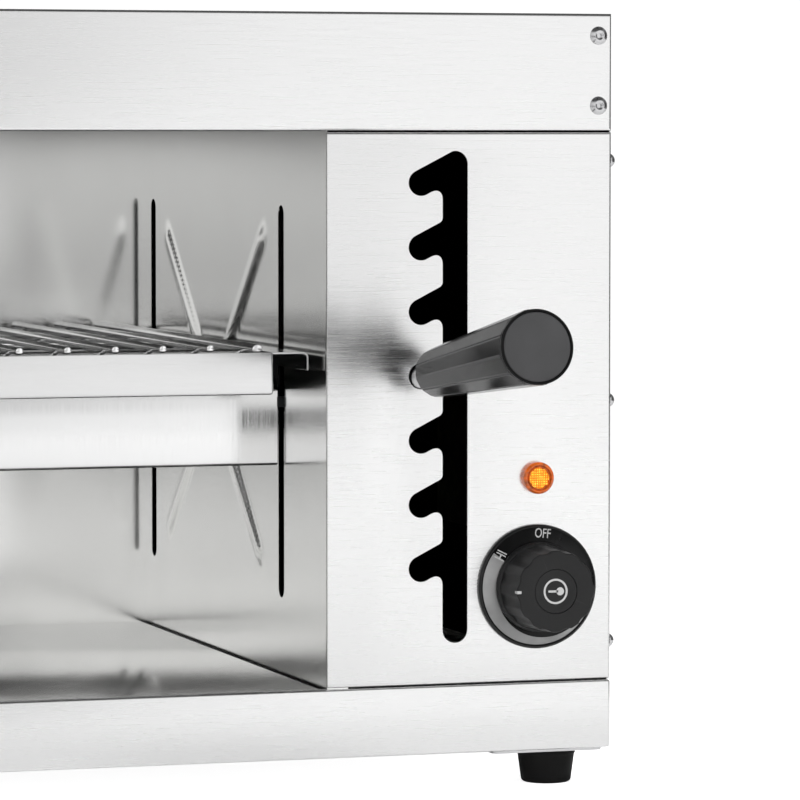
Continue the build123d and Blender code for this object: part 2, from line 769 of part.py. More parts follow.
def grip_cap():
    """Flat disc that closes the front of the grip."""
    disc = Pos(0, 0, grip_end - 1.0) * Cylinder(cap_r, 1.0)
    return in_handle_frame(Rot(0, 90, 0) * disc)


# ---------------------------------------------------------------- drip tray and grid

def drip_tray():
    """Shallow tray with a flange along each side that turns out and then down."""
    left = cavity_left + tray_side_gap
    right = -tray_side_gap
    outer = box(left, right, tray_front_y, tray_rear_y, tray_bottom_z, tray_top_z)
    upright = outer.edges().filter_by(Axis.Z)
    outer = fillet(upright, 1.2)
    tray = outer - box(left + sheet, right - sheet, tray_front_y + sheet, tray_rear_y - sheet,
                       tray_bottom_z + sheet, tray_top_z + 1)
    return tray + side_flange(right, 1) + side_flange(left, -1)


def side_flange(x, outward):
    """Flange that runs out from a tray wall and turns down at its edge."""
    reach = (tray_side_gap - tray_flange_gap) * outward
    inner = x - sheet * outward
    end = x + reach
    level = box(min(inner, end), max(inner, end), tray_front_y + 1.2, tray_rear_y - 1.2,
                tray_top_z - sheet, tray_top_z)
    drop = box(min(end, end - sheet * outward), max(end, end - sheet * outward), tray_front_y + 1.2,
               tray_rear_y - 1.2, tray_top_z - tray_flange_drop, tray_top_z)
    flange = level + drop
    bend = flange.edges().filter_by(Axis.Y).sort_by(lambda e: -e.center().X * outward - e.center().Z)[0]
    return fillet(bend, tray_flange_bend_r)


def grid_edges():
    """Front and rear ends of the grid's bars, and the middles of its right and left edge bars."""
    side_gap = tray_side_gap + grid_edge_gap
    return tray_front_y + 4, tray_rear_y - 4, -side_gap, cavity_left + side_gap


def wire_grid():
    """Welded grid: front-to-back bars on three cross wires, with thicker edge bars."""
    front, rear, first, last = grid_edges()
    bar_z = grid_top_z - grid_wire_r
    step = (last - first) / (grid_bars + 1)
    grid = None
    for i in range(1, grid_bars + 1):
        bar = turned(grid_wire_r, (first + step * i, front, bar_z), rear - front, (0, 1, 0))
        bar = chamfer(bar.edges(), 0.6)
        grid = bar if grid is None else grid + bar
    for x in (first, last):
        edge = turned(grid_edge_r, (x, front, grid_top_z - grid_edge_r), rear - front, (0, 1, 0))
        grid += chamfer(edge.edges(), 0.8)
    for y in (front + 26, (front + rear) / 2, rear - 26):
        grid += turned(rail_bar_r, (last, y, grid_cross_z), first - last, (1, 0, 0))
    return grid


def grid_legs():
    """Four legs that stand on the tray floor, each saddled to a cross wire and welded to it from below."""
    front, rear, first, last = grid_edges()
    foot_z = tray_bottom_z + sheet
    legs = []
    for y in (front + 26, rear - 26):
        wire = turned(rail_bar_r, (last, y, grid_cross_z), first - last, (1, 0, 0))
        for x in (first - 4, last + 4):
            legs.append(turned(rail_bar_r, (x, y, foot_z), grid_cross_z - 1 - foot_z) - wire)
    return group(legs)


# ---------------------------------------------------------------- assembly

def all_parts():
    """Every node of the assembly by name."""
    wall = inner_wall()
    cover = side_cover()
    parts = {
        "hood": hood(),
        "right_side_cover": cover,
        "left_side_cover": mirrored(cover),
        "control_panel": control_panel(),
        "left_front_post": left_front_post(),
        "right_inner_wall": right_inner_wall(),
        "left_inner_wall": mirror(wall, about=Plane.YZ.offset(cavity_left / 2)),
        "cavity_rear_wall": cavity_rear_wall(),
        "cavity_floor": cavity_floor(),
        "base_plinth": base_plinth(),
        "rear_panel": rear_panel(),
        "fascia_rivets": fascia_rivets(),
        "side_screws": side_screws(),
        "rear_screws": rear_screws(),
        "heat_reflector": heat_reflector(),
        "insulation_blanket": insulation_blanket(),
        "element_hangers": element_hangers(),
        "element_ferrules": element_ferrules(),
        "element_terminals": element_terminals(),
        "thermal_cutout": thermal_cutout(),
        "terminal_block": terminal_block(),
        "terminal_screws": terminal_screws(),
        "cable_gland": cable_gland(),
        "gland_nut": gland_nut(),
        "energy_regulator": energy_regulator(),
        "regulator_screws": regulator_screws(),
        "regulator_shaft": regulator_shaft(),
        "knob_bezel": knob_bezel(),
        "knob": knob(),
        "knob_cap": knob_cap(),
        "knob_pointer": knob_pointer(),
        "pilot_lamp_lens": pilot_lamp_lens(),
        "pilot_lamp_body": pilot_lamp_body(),
        "guide_rod_front": guide_rod(guide_front_y),
        "guide_rod_rear": guide_rod(guide_rear_y),
        "guide_bracket_lower": guide_bracket_lower(),
        "guide_bracket_upper": guide_bracket_upper(),
        "bearing_block_front": bearing_block(guide_front_y),
        "bearing_block_rear": bearing_block(guide_rear_y),
        "carriage_plate": carriage_plate(),
        "rack_carrier": rack_carrier(),
        "arm_screws": arm_screws(),
        "handle_bracket": handle_bracket(),
        "pivot_pin": pivot_pin(),
        "handle_rod": handle_rod(),
        "handle_grip": handle_grip(),
        "grip_cap": grip_cap(),
        "drip_tray": drip_tray(),
        "wire_grid": wire_grid(),
        "grid_legs": grid_legs(),
    }
    for name, centre_y in zip(("front", "middle", "rear"), element_centres):
        parts["heating_element_" + name] = heating_element(centre_y)
    plate_bottom = -plinth_height - foot_plate_t
    names = ("front_left", "front_right", "rear_left", "rear_right")
    for name, (x, y) in zip(names, foot_points()):
        parts["foot_" + name] = Pos(x, y, plate_bottom) * foot()
    parts["foot_plates"] = group([foot_plate(x, y) for x, y in foot_points()])
    parts["foot_bolts"] = group([Pos(x, y, -plinth_height) * foot_bolt() for x, y in foot_points()])
    return parts


def export_all():
    """Centre the assembly over the origin, stand it on Z = 0 and write one file per node."""
    parts = all_parts()
    extent = Compound(children=[copy_of(shape) for shape in parts.values()]).bounding_box()
    shift = Pos(-(extent.min.X + extent.max.X) / 2, -(extent.min.Y + extent.max.Y) / 2, -extent.min.Z)
    os.makedirs("parts", exist_ok=True)
    for name, shape in parts.items():
        export_step(shift * shape, "parts/" + name + ".step")
    print("shift", shift.position)
    print("size", extent.size)


def copy_of(shape):
    """An independent copy, so that measuring the assembly leaves the parts as they are."""
    return Pos(0, 0, 0) * shape


export_all()
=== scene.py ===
"""Countertop salamander grill: its visible pieces, their finishes and the stage, built round the
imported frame.

The building functions work in millimetres from the lower left front corner of the control panel, with X to
the right, Y to the back and Z up. The matrix to_frame turns that into metres in the shared frame.
"""
import json
from math import atan2, cos, pi, radians, sin, sqrt, tan

import bmesh
import bpy
from bpy.props import FloatProperty, FloatVectorProperty, IntProperty, PointerProperty
from bpy.types import Operator, Panel, PropertyGroup
from mathutils import Matrix, Vector


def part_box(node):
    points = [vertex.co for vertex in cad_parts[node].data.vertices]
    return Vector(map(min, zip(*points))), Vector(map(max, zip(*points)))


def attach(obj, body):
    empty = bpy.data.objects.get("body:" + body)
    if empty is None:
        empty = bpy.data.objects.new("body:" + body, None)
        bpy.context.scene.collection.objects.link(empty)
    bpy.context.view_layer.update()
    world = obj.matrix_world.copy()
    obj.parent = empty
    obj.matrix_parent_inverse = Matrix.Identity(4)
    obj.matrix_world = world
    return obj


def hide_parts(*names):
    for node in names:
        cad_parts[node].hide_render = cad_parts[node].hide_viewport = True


bl_info = {
    "name": "Salamander grill",
    "version": (1, 0, 0),
    "blender": (4, 5, 0),
    "location": "3D View > Sidebar > Grill",
    "description": "Builds the visible pieces of a countertop salamander grill round its frame",
    "category": "Object",
}

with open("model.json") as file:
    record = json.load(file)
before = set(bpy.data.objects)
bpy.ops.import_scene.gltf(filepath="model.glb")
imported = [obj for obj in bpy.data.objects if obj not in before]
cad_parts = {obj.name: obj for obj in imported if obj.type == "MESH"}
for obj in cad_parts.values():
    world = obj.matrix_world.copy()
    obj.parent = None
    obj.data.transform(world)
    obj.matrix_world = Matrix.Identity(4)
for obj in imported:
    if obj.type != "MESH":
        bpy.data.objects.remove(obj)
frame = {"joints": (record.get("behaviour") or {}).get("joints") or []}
bpy.context.view_layer.update()

MM = 0.001
JOINT_GAP = 0.3
FLANGE = 12.0
LIGHT = 1e-4

panel_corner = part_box("control_panel")[0]
corner = Vector((panel_corner.x, panel_corner.y, panel_corner.z - JOINT_GAP * MM))
to_frame = Matrix.Translation(corner) @ Matrix.Scale(MM, 4)


def spans(node):
    """Lowest and highest corner of a CAD node, in millimetres from the panel's corner."""
    low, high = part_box(node)
    return (low - corner) / MM, (high - corner) / MM


def middle(node):
    """Centre of a CAD node's box, in millimetres from the panel's corner."""
    low, high = spans(node)
    return (low + high) / 2


hood_low, hood_high = spans("hood")
panel_low, panel_high = spans("control_panel")
plinth_low, plinth_high = spans("base_plinth")
reflector_low, reflector_high = spans("heat_reflector")
CAVITY_LEFT = reflector_low.x
CENTRE_X = (plinth_low.x + plinth_high.x) / 2

TAB_LEVEL = 150.85
TAB_DEPTHS = (88.0, 363.0)
# Bounds of the region in the control box whose faces get painted shade instead of their metal finish, and
# the near-black colour of that shade, so that the comb slot reads black. The upper X bound lies 0.1 mm past
# the right cover's outer face, so the region takes in that face as well.
PAINTED_SHADE_REGION = (("X", 0.45, 161.9), ("Y", 0.9, 399.1), ("Z", 0.5, 364.2))
PAINTED_SHADE_TINT = (0.004, 0.004, 0.004)
CAMERA_PLACE = (-745.15, -2441.43, 298.86)
CAMERA_TILT, CAMERA_TURN = 86.807, -17.85
CAMERA_LENS, CAMERA_SENSOR = 213.75, 36.0
FLOOR_RADIUS = 1.7
LAMP_PLACE, LAMP_SIZE = (0.9, -1.2, 2.2), 1.6


# ---------------------------------------------------------------- settings

class SheetSettings(PropertyGroup):
    thickness: FloatProperty(name="Sheet thickness", description="Thickness of the housing's sheets",
                             default=0.001, min=0.0005, max=0.002, unit="LENGTH", precision=4)
    bend: FloatProperty(name="Bend radius", description="Outer radius of the bends at the front",
                        default=0.002, min=0.001, max=0.004, unit="LENGTH", precision=4)
    rib_height: FloatProperty(name="Rib height", description="How far the wall's crossed ribs stand proud",
                              default=0.0019, min=0.0, max=0.003, unit="LENGTH", precision=4)


class CombSettings(PropertyGroup):
    notches: IntProperty(name="Notches", description="Number of sloping notches along the channel",
                         default=7, min=3, max=9)
    pitch: FloatProperty(name="Notch pitch", description="Height from one notch to the next",
                         default=0.0349, unit="LENGTH", precision=4)
    slope: FloatProperty(name="Notch slope", description="Slope of the notches", default=radians(27),
                         subtype="ANGLE")


class GripSettings(PropertyGroup):
    flats: IntProperty(name="Flats", description="Number of long flats round the grip", default=12, min=6,
                       max=24)
    scallops: IntProperty(name="Scallops", description="Number of finger hollows round the knob",
                          default=12, min=6, max=18)


class GridSettings(PropertyGroup):
    bars: IntProperty(name="Bars", description="Number of thin bars between the two edge bars",
                      default=14, min=5, max=25)


def colour(title, told, value):
    """A colour that a user can change."""
    return FloatVectorProperty(name=title, description=told, default=value, min=0.0, max=1.0, size=3,
                               subtype="COLOR")


class ColourSettings(PropertyGroup):
    shell: colour("Shell steel", "Brushed sheet of the outside", (0.9, 0.9, 0.9))
    inner: colour("Inner steel", "Satin sheet of the cavity", (0.87, 0.87, 0.86))
    black: colour("Black plastic", "Grip, knob and dial", (0.006, 0.006, 0.0062))
    rubber: colour("Rubber", "The four feet", (0.004, 0.004, 0.004))
    amber: colour("Amber", "Pilot lamp's rim", (0.55, 0.1, 0.006))
    glow: colour("Glow", "Lit middle of the pilot lamp", (1.0, 0.5, 0.05))
    scale: colour("Dial scale", "Tapering band round the knob", (0.34, 0.34, 0.34))
    floor: colour("Floor", "Pale floor of the stage", (0.85, 0.85, 0.85))


class StageSettings(PropertyGroup):
    world: FloatProperty(name="World light", description="Strength of the pale surroundings", default=1.05,
                         min=0.0)
    overhead: FloatProperty(name="Overhead light", description="Power of the large soft light above",
                            default=58.0, min=0.0, unit="POWER")
    floor_glow: FloatProperty(name="Floor glow", description="Lift of the floor towards white", default=0.85,
                              min=0.0)


SETTINGS = {"grill_sheet": SheetSettings, "grill_comb": CombSettings, "grill_grip": GripSettings,
            "grill_grid": GridSettings, "grill_colours": ColourSettings, "grill_stage": StageSettings}


# ---------------------------------------------------------------- mesh helpers

def block(bm, low, high):
    """A block between two corners; gives its vertices."""
    low, high = Vector(low), Vector(high)
    made = bmesh.ops.create_cube(bm, size=1)["verts"]
    bmesh.ops.scale(bm, vec=high - low, verts=made)
    bmesh.ops.translate(bm, vec=(low + high) / 2, verts=made)
    return made


def edges_of(verts):
    return list({e for v in verts for e in v.link_edges})


def upright_edges(verts):
    """Edges of some vertices that don't lie level."""
    return [e for e in edges_of(verts) if not near(e.verts[0].co.z, e.verts[1].co.z)]


def verts_in(geometry):
    return [v for v in geometry if isinstance(v, bmesh.types.BMVert)]


def edges_where(bm, test):
    """Edges whose two ends both pass a test."""
    return [e for e in bm.edges if all(test(v.co) for v in e.verts)]


def faces_where(bm, test):
    """Faces whose centre passes a test."""
    return [f for f in bm.faces if test(f.calc_center_median())]


def near(a, b):
    return abs(a - b) < 0.01


def round_edges(bm, edges, radius, segments=4):
    bmesh.ops.bevel(bm, geom=edges, offset=radius, segments=segments, profile=0.5, affect="EDGES",
                    material=-1)


def round_corners(bm, verts, distance, segments=8):
    bmesh.ops.bevel(bm, geom=verts, offset=distance, segments=segments, profile=0.5, affect="VERTICES",
                    clamp_overlap=False, material=-1)


def divide(bm, point, normal):
    """Cuts every face along a plane and keeps both sides."""
    bmesh.ops.bisect_plane(bm, geom=bm.verts[:] + bm.edges[:] + bm.faces[:], plane_co=point,
                           plane_no=normal)


def drop_faces(bm, faces):
    bmesh.ops.delete(bm, geom=faces, context="FACES")


def lathe(bm, profile, segments=64, rounds=(), steps=3):
    """Turns a profile of (radius, height) points about Z; rounds holds (point's index, radius) pairs."""
    points = [bm.verts.new((r, 0, h)) for r, h in profile]
    chain = [bm.edges.new(pair) for pair in zip(points, points[1:])]
    before = set(bm.faces)
    bmesh.ops.spin(bm, geom=points + chain, cent=(0, 0, 0), axis=(0, 0, 1), angle=2 * pi,
                   steps=segments, use_merge=True, use_duplicate=False)
    made = [f for f in bm.faces if f not in before]
    verts = list({v for f in made for v in f.verts})
    bmesh.ops.remove_doubles(bm, verts=verts, dist=LIGHT)
    for index, radius in rounds:
        r, h = profile[index]
        ring = edges_where(bm, lambda p: abs(p.xy.length - r) < 1e-3 and abs(p.z - h) < 1e-3)
        round_edges(bm, ring, radius, steps)


def wire(bm, start, end, radius, segments=20, tip=0.5):
    """A straight round bar with softened ends."""
    start, end = Vector(start), Vector(end)
    run = end - start
    turn = run.to_track_quat("Z", "Y").to_matrix().to_4x4()
    made = bmesh.ops.create_cone(bm, cap_ends=True, segments=segments, radius1=radius, radius2=radius,
                                 depth=run.length, matrix=Matrix.Translation((start + end) / 2) @ turn)
    direction = run.normalized()
    rims = [e for e in edges_of(made["verts"])
            if abs((e.verts[1].co - e.verts[0].co).dot(direction)) < LIGHT]
    round_edges(bm, rims, tip, 2)


def stations(bm, segments, rings, closed=True):
    """A many-sided bar along Z through (radius, height) rings."""
    first_r, first_h = rings[0]
    made = bmesh.ops.create_circle(bm, cap_ends=closed, segments=segments, radius=first_r,
                                   matrix=Matrix.Translation((0, 0, first_h)))["verts"]
    loop = [e for e in edges_of(made) if e.verts[0] in made and e.verts[1] in made]
    last_r, last_h = first_r, first_h
    for r, h in rings[1:]:
        grown = bmesh.ops.extrude_edge_only(bm, edges=loop)["geom"]
        verts = verts_in(grown)
        loop = [e for e in grown if isinstance(e, bmesh.types.BMEdge)
                and e.verts[0] in verts and e.verts[1] in verts]
        loop = [e for e in loop if near(e.verts[0].co.z, last_h) and near(e.verts[1].co.z, last_h)]
        bmesh.ops.scale(bm, vec=(r / last_r, r / last_r, 1), verts=verts)
        bmesh.ops.translate(bm, vec=(0, 0, h - last_h), verts=verts)
        last_r, last_h = r, h
    if closed:
        bmesh.ops.contextual_create(bm, geom=loop)


def section(bm, outline, start, length, across, up, along):
    """A bar of constant section: a flat outline in the across and up directions, pushed along."""
    across, up, along = Vector(across), Vector(up), Vector(along)
    verts = [bm.verts.new(Vector(start) + across * a + up * u) for a, u in outline]
    face = bm.faces.new(verts)
    pushed = bmesh.ops.extrude_face_region(bm, geom=[face])["geom"]
    moved = verts_in(pushed)
    bmesh.ops.translate(bm, vec=along * length, verts=moved)
    return verts + moved


def on_front(x, z):
    """Place for something that stands on the front: its Z axis points at the user and its Y axis up."""
    turn = Matrix(((1, 0, 0, 0), (0, 0, -1, 0), (0, 1, 0, 0), (0, 0, 0, 1)))
    return to_frame @ Matrix.Translation((x, 0, z)) @ turn


def facing(point, direction):
    """Place for something whose Z axis starts at a point and runs along a direction."""
    turn = Vector(direction).to_track_quat("Z", "Y").to_matrix().to_4x4()
    return to_frame @ Matrix.Translation(point) @ turn


def new_object(name, data):
    """An object in the scene."""
    obj = bpy.data.objects.new(name, data)
    bpy.context.scene.collection.objects.link(obj)
    return obj


def mesh_of(name, bm):
    bmesh.ops.recalc_face_normals(bm, faces=bm.faces)
    mesh = bpy.data.meshes.new(name)
    bm.to_mesh(mesh)
    bm.free()
    return mesh


def smooth(mesh, angle=35):
    mesh.shade_smooth()
    mesh.set_sharp_from_angle(angle=radians(angle))


def piece(name, bm, slot, body, nodes=(), place=to_frame, finish=None, angle=35):
    """Makes a finished object from a bmesh, in its place, with its finish, body and replaced nodes."""
    bmesh.ops.remove_doubles(bm, verts=bm.verts, dist=LIGHT)
    mesh = mesh_of(name, bm)
    mesh.transform(place)
    if place.determinant() < 0:
        mesh.flip_normals()
    obj = new_object(name, mesh)
    smooth(mesh, angle)
    mesh.materials.append(bpy.data.materials[finish or slot])
    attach(obj, body)
    if nodes:
        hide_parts(*nodes)
    return obj


def thicken(obj, thickness):
    """Gives an open shell its wall, inwards."""
    wall = obj.modifiers.new("wall", "SOLIDIFY")
    wall.thickness = thickness
    wall.offset = -1
    wall.use_even_offset = True


def soften(obj, width, segments=2, angle=40):
    """Breaks the sharp edges."""
    rim = obj.modifiers.new("edges", "BEVEL")
    rim.width = width
    rim.segments = segments
    rim.limit_method = "ANGLE"
    rim.angle_limit = radians(angle)
    rim.harden_normals = True


def cut_away(obj, bm, place=to_frame, angle=35):
    """Takes a cutter's shape out of an object and settles the modifiers so far into its mesh."""
    mesh = mesh_of("cutter", bm)
    mesh.transform(place)
    cutter = new_object("cutter", mesh)
    taken = obj.modifiers.new("cut", "BOOLEAN")
    taken.operation = "DIFFERENCE"
    taken.solver = "EXACT"
    taken.object = cutter
    depsgraph = bpy.context.evaluated_depsgraph_get()
    whole = bpy.data.meshes.new_from_object(obj.evaluated_get(depsgraph))
    obj.modifiers.clear()
    old = obj.data
    obj.data = whole
    bpy.data.meshes.remove(old)
    whole.name = obj.name
    bpy.data.objects.remove(cutter)
    bpy.data.meshes.remove(mesh)
    smooth(whole, angle)


# ---------------------------------------------------------------- finishes

class Finish:
    """The nodes of one material, whose patterns all read Object coordinates."""

    def __init__(self, name):
        self.material = bpy.data.materials.get(name) or bpy.data.materials.new(name)
        self.material.use_nodes = True
        self.nodes = self.material.node_tree.nodes
        self.links = self.material.node_tree.links
        self.nodes.clear()
        self.shader = self.nodes.new("ShaderNodeBsdfPrincipled")
        output = self.nodes.new("ShaderNodeOutputMaterial")
        self.links.new(self.shader.outputs["BSDF"], output.inputs["Surface"])
        self.coords = self.nodes.new("ShaderNodeTexCoord")
        self.inside = None

    def set(self, **values):
        """Even values on the shader's own sockets."""
        for name, value in values.items():
            self.shader.inputs[name.replace("_", " ")].default_value = value
        return self

    def noise(self, scale, detail=3.0, rough=0.55):
        """Noise with a scale per metre along each axis."""
        mapping = self.nodes.new("ShaderNodeMapping")
        mapping.inputs["Scale"].default_value = scale
        texture = self.nodes.new("ShaderNodeTexNoise")
        texture.inputs["Scale"].default_value = 1.0
        texture.inputs["Detail"].default_value = detail
        texture.inputs["Roughness"].default_value = rough
        self.links.new(self.coords.outputs["Object"], mapping.inputs["Vector"])
        self.links.new(mapping.outputs["Vector"], texture.inputs["Vector"])
        return texture.outputs["Fac"]

    def cells(self, scale):
        """Voronoi cells with a scale per metre."""
        texture = self.nodes.new("ShaderNodeTexVoronoi")
        texture.inputs["Scale"].default_value = scale
        self.links.new(self.coords.outputs["Object"], texture.inputs["Vector"])
        return texture

    def remap(self, value, low, high, start=0.3, end=0.7):
        node = self.nodes.new("ShaderNodeMapRange")
        for socket, number in zip(("From Min", "From Max", "To Min", "To Max"), (start, end, low, high)):
            node.inputs[socket].default_value = number
        self.links.new(value, node.inputs["Value"])
        return node.outputs["Result"]

    def blend(self, factor, first, second):
        """A colour between two, by a factor."""
        node = self.nodes.new("ShaderNodeMix")
        node.data_type = "RGBA"
        self.links.new(factor, node.inputs[0])
        for socket, value in ((6, first), (7, second)):
            if isinstance(value, bpy.types.NodeSocket):
                self.links.new(value, node.inputs[socket])
            else:
                node.inputs[socket].default_value = (*value, 1.0)
        return node.outputs[2]

    def weigh(self, factor, first, second):
        """A number between two sockets, by a factor."""
        node = self.nodes.new("ShaderNodeMix")
        self.links.new(factor, node.inputs[0])
        self.links.new(first, node.inputs[2])
        self.links.new(second, node.inputs[3])
        return node.outputs[0]

    def compute(self, operation, *terms):
        """A sum on numbers or sockets."""
        node = self.nodes.new("ShaderNodeMath")
        node.operation = operation
        for socket, term in zip(node.inputs, terms):
            if isinstance(term, bpy.types.NodeSocket):
                self.links.new(term, socket)
            else:
                socket.default_value = term
        return node.outputs["Value"]

    def axes(self, kind="Object"):
        """The three parts of a coordinate."""
        split = self.nodes.new("ShaderNodeSeparateXYZ")
        self.links.new(self.coords.outputs[kind], split.inputs["Vector"])
        return split.outputs

    def facing_up(self):
        """1 on level faces and 0 on upright ones."""
        return self.remap(self.compute("ABSOLUTE", self.axes("Normal")["Z"]), 0.0, 1.0, 0.6, 0.8)

    def in_control_box(self):
        """1 on faces within the control box's region of painted shade, and 0 elsewhere."""
        parts, inside = self.axes(), None
        for axis, low, high in PAINTED_SHADE_REGION:
            offset = corner["XYZ".index(axis)]
            for operation, limit in (("GREATER_THAN", low), ("LESS_THAN", high)):
                test = self.compute(operation, parts[axis], offset + limit * MM)
                inside = test if inside is None else self.compute("MULTIPLY", inside, test)
        return inside

    def lattice(self, cell, gap):
        """1 on the lines of a square lattice that faces the front."""
        flat = self.nodes.new("ShaderNodeCombineXYZ")
        parts = self.axes()
        self.links.new(parts["X"], flat.inputs["X"])
        self.links.new(parts["Z"], flat.inputs["Y"])
        bricks = self.nodes.new("ShaderNodeTexBrick")
        bricks.offset = 0.0
        for socket, value in (("Scale", 1.0), ("Brick Width", cell), ("Row Height", cell),
                              ("Mortar Size", gap)):
            bricks.inputs[socket].default_value = value
        self.links.new(flat.outputs["Vector"], bricks.inputs["Vector"])
        return bricks.outputs["Fac"]

    def edge_wear_and_highlight(self, start=0.52, end=0.6):
        """1 along outer edges, from the mesh's own curvature."""
        geometry = self.nodes.new("ShaderNodeNewGeometry")
        return self.remap(geometry.outputs["Pointiness"], 0.0, 1.0, start, end)

    def paint(self, socket, painted_shade_inside=False):
        """The base colour; when asked for, painted shade within the control box: near black there, with no
        metal.
        """
        if painted_shade_inside:
            self.inside = self.in_control_box()
            socket = self.blend(self.inside, socket, PAINTED_SHADE_TINT)
            self.links.new(self.remap(self.inside, 1.0, 0.0, 0.0, 1.0), self.shader.inputs["Metallic"])
            self.set(Specular_IOR_Level=0.1)
        self.links.new(socket, self.shader.inputs["Base Color"])

    def rough(self, socket):
        # Within the control box's painted shade the roughness goes to full, so that no reflection shows
        # there.
        if self.inside is not None:
            socket = self.compute("MAXIMUM", socket, self.inside)
        self.links.new(socket, self.shader.inputs["Roughness"])

    def bump(self, height, strength, distance):
        node = self.nodes.new("ShaderNodeBump")
        node.inputs["Strength"].default_value = strength
        node.inputs["Distance"].default_value = distance
        self.links.new(height, node.inputs["Height"])
        self.links.new(node.outputs["Normal"], self.shader.inputs["Normal"])


def shade_of(value, factor):
    return tuple(min(1.0, c * factor) for c in value)


def brushed_steel(name, tint, rough, upright, level, contrast=0.05, depth=0.35):
    """Sheet with a fine grain; upright and level give the grain's scale per metre on such faces."""
    finish = Finish(name).set(Metallic=1.0)
    grain = finish.weigh(finish.facing_up(), finish.noise(upright, 5.0, 0.7), finish.noise(level, 5.0, 0.7))
    clouds = finish.noise((7, 7, 7), 2.0)
    toned = finish.blend(finish.remap(clouds, 0.0, 1.0), shade_of(tint, 1 - contrast), tint)
    finish.paint(finish.blend(finish.remap(grain, 0.0, 1.0, 0.25, 0.75), shade_of(tint, 1 - 1.6 * contrast),
                              toned), painted_shade_inside=True)
    finish.rough(finish.remap(grain, rough - 0.05, rough + 0.07))
    finish.bump(grain, depth, 0.00006)


def satin_steel(name, tint, rough):
    """Rolled sheet with faint clouds, wipe marks and a soft grain."""
    finish = Finish(name).set(Metallic=1.0)
    clouds = finish.noise((9, 9, 5), 3.0)
    wipes = finish.noise((900, 22, 900), 4.0)
    finish.paint(finish.blend(finish.remap(clouds, 0.0, 1.0), shade_of(tint, 0.95), shade_of(tint, 1.03)),
                 painted_shade_inside=True)
    finish.rough(finish.remap(clouds, rough - 0.03, rough + 0.04))
    finish.bump(wipes, 0.06, 0.00004)


def spangled_zinc(name, tint):
    """Zinc-coated sheet with crystals of different tone."""
    finish = Finish(name).set(Metallic=1.0)
    crystals = finish.cells(190.0)
    fine = finish.noise((900, 900, 900), 3.0)
    grey = finish.nodes.new("ShaderNodeRGBToBW")
    finish.links.new(crystals.outputs["Color"], grey.inputs["Color"])
    finish.paint(finish.blend(grey.outputs["Val"], shade_of(tint, 0.82), shade_of(tint, 1.12)),
                 painted_shade_inside=True)
    finish.rough(finish.remap(grey.outputs["Val"], 0.32, 0.48, 0.0, 1.0))
    finish.bump(fine, 0.15, 0.00005)


def bright_metal(name, tint, rough, scale, tarnish=0.85):
    """Turned or plated metal with fine tool marks and a little tarnish."""
    finish = Finish(name).set(Metallic=1.0)
    marks = finish.noise(scale, 4.0, 0.65)
    spots = finish.noise((60, 60, 60), 4.0)
    finish.paint(finish.blend(finish.remap(spots, 0.0, 1.0, 0.35, 0.75), tint, shade_of(tint, tarnish)),
                 painted_shade_inside=True)
    finish.rough(finish.remap(marks, rough * 0.7, rough * 1.4))
    finish.bump(marks, 0.1, 0.00004)


def moulding(name, tint, rough, wear_and_highlight_gain=2.2, grain=0.08, coat=0.0, shine=0.5, index=1.5):
    """Moulded plastic with fine flow marks, lighter along its outer edges: partly rubbed wear and partly
    painted highlight.
    """
    finish = Finish(name).set(Coat_Weight=coat, Coat_Roughness=0.08, Specular_IOR_Level=shine, IOR=index)
    skin = finish.noise((1400, 1400, 1400), 3.0)
    flow = finish.noise((45, 45, 45), 3.0)
    toned = finish.blend(finish.remap(flow, 0.0, 1.0), shade_of(tint, 0.8), shade_of(tint, 1.25))
    finish.paint(finish.blend(finish.edge_wear_and_highlight(), toned, shade_of(tint, wear_and_highlight_gain)))
    finish.rough(finish.remap(flow, rough * 0.8, rough * 1.25))
    finish.bump(skin, grain, 0.00005)


def lit_amber(name, tint, strength, cell=0.0):
    """Clear coloured plastic that is lit from behind, brighter in some places than in others."""
    finish = Finish(name).set(Emission_Strength=strength, Coat_Weight=0.4)
    depth = finish.noise((420, 420, 420), 3.0)
    lit = finish.blend(finish.remap(depth, 0.0, 1.0), shade_of(tint, 0.45), shade_of(tint, 1.3))
    if cell:
        lit = finish.blend(finish.lattice(cell, cell * 0.16), lit, (tint[0] * 0.6, tint[1] * 0.25, 0.0))
    finish.paint(lit)
    finish.links.new(lit, finish.shader.inputs["Emission Color"])
    finish.rough(finish.remap(depth, 0.1, 0.22))
    finish.bump(depth, 0.1, 0.00005)


def heated_sheath(name):
    """Tube that has gone dark and blotched from heat."""
    finish = Finish(name).set(Metallic=0.75)
    scale = finish.noise((160, 160, 160), 6.0, 0.7)
    bands = finish.noise((14, 90, 90), 3.0)
    brown = finish.blend(finish.remap(bands, 0.0, 1.0), (0.05, 0.045, 0.04), (0.16, 0.12, 0.09))
    finish.paint(finish.blend(finish.remap(scale, 0.0, 1.0), brown, (0.1, 0.1, 0.105)))
    finish.rough(finish.remap(scale, 0.4, 0.7))
    finish.bump(scale, 0.3, 0.0001)


def mineral_fibre(name):
    """Matted pale fibres."""
    finish = Finish(name)
    fibres = finish.noise((300, 1500, 1500), 8.0, 0.8)
    finish.paint(finish.blend(finish.remap(fibres, 0.0, 1.0), (0.55, 0.5, 0.38), (0.85, 0.82, 0.7)))
    finish.rough(finish.remap(fibres, 0.85, 1.0))
    finish.bump(fibres, 0.8, 0.0006)


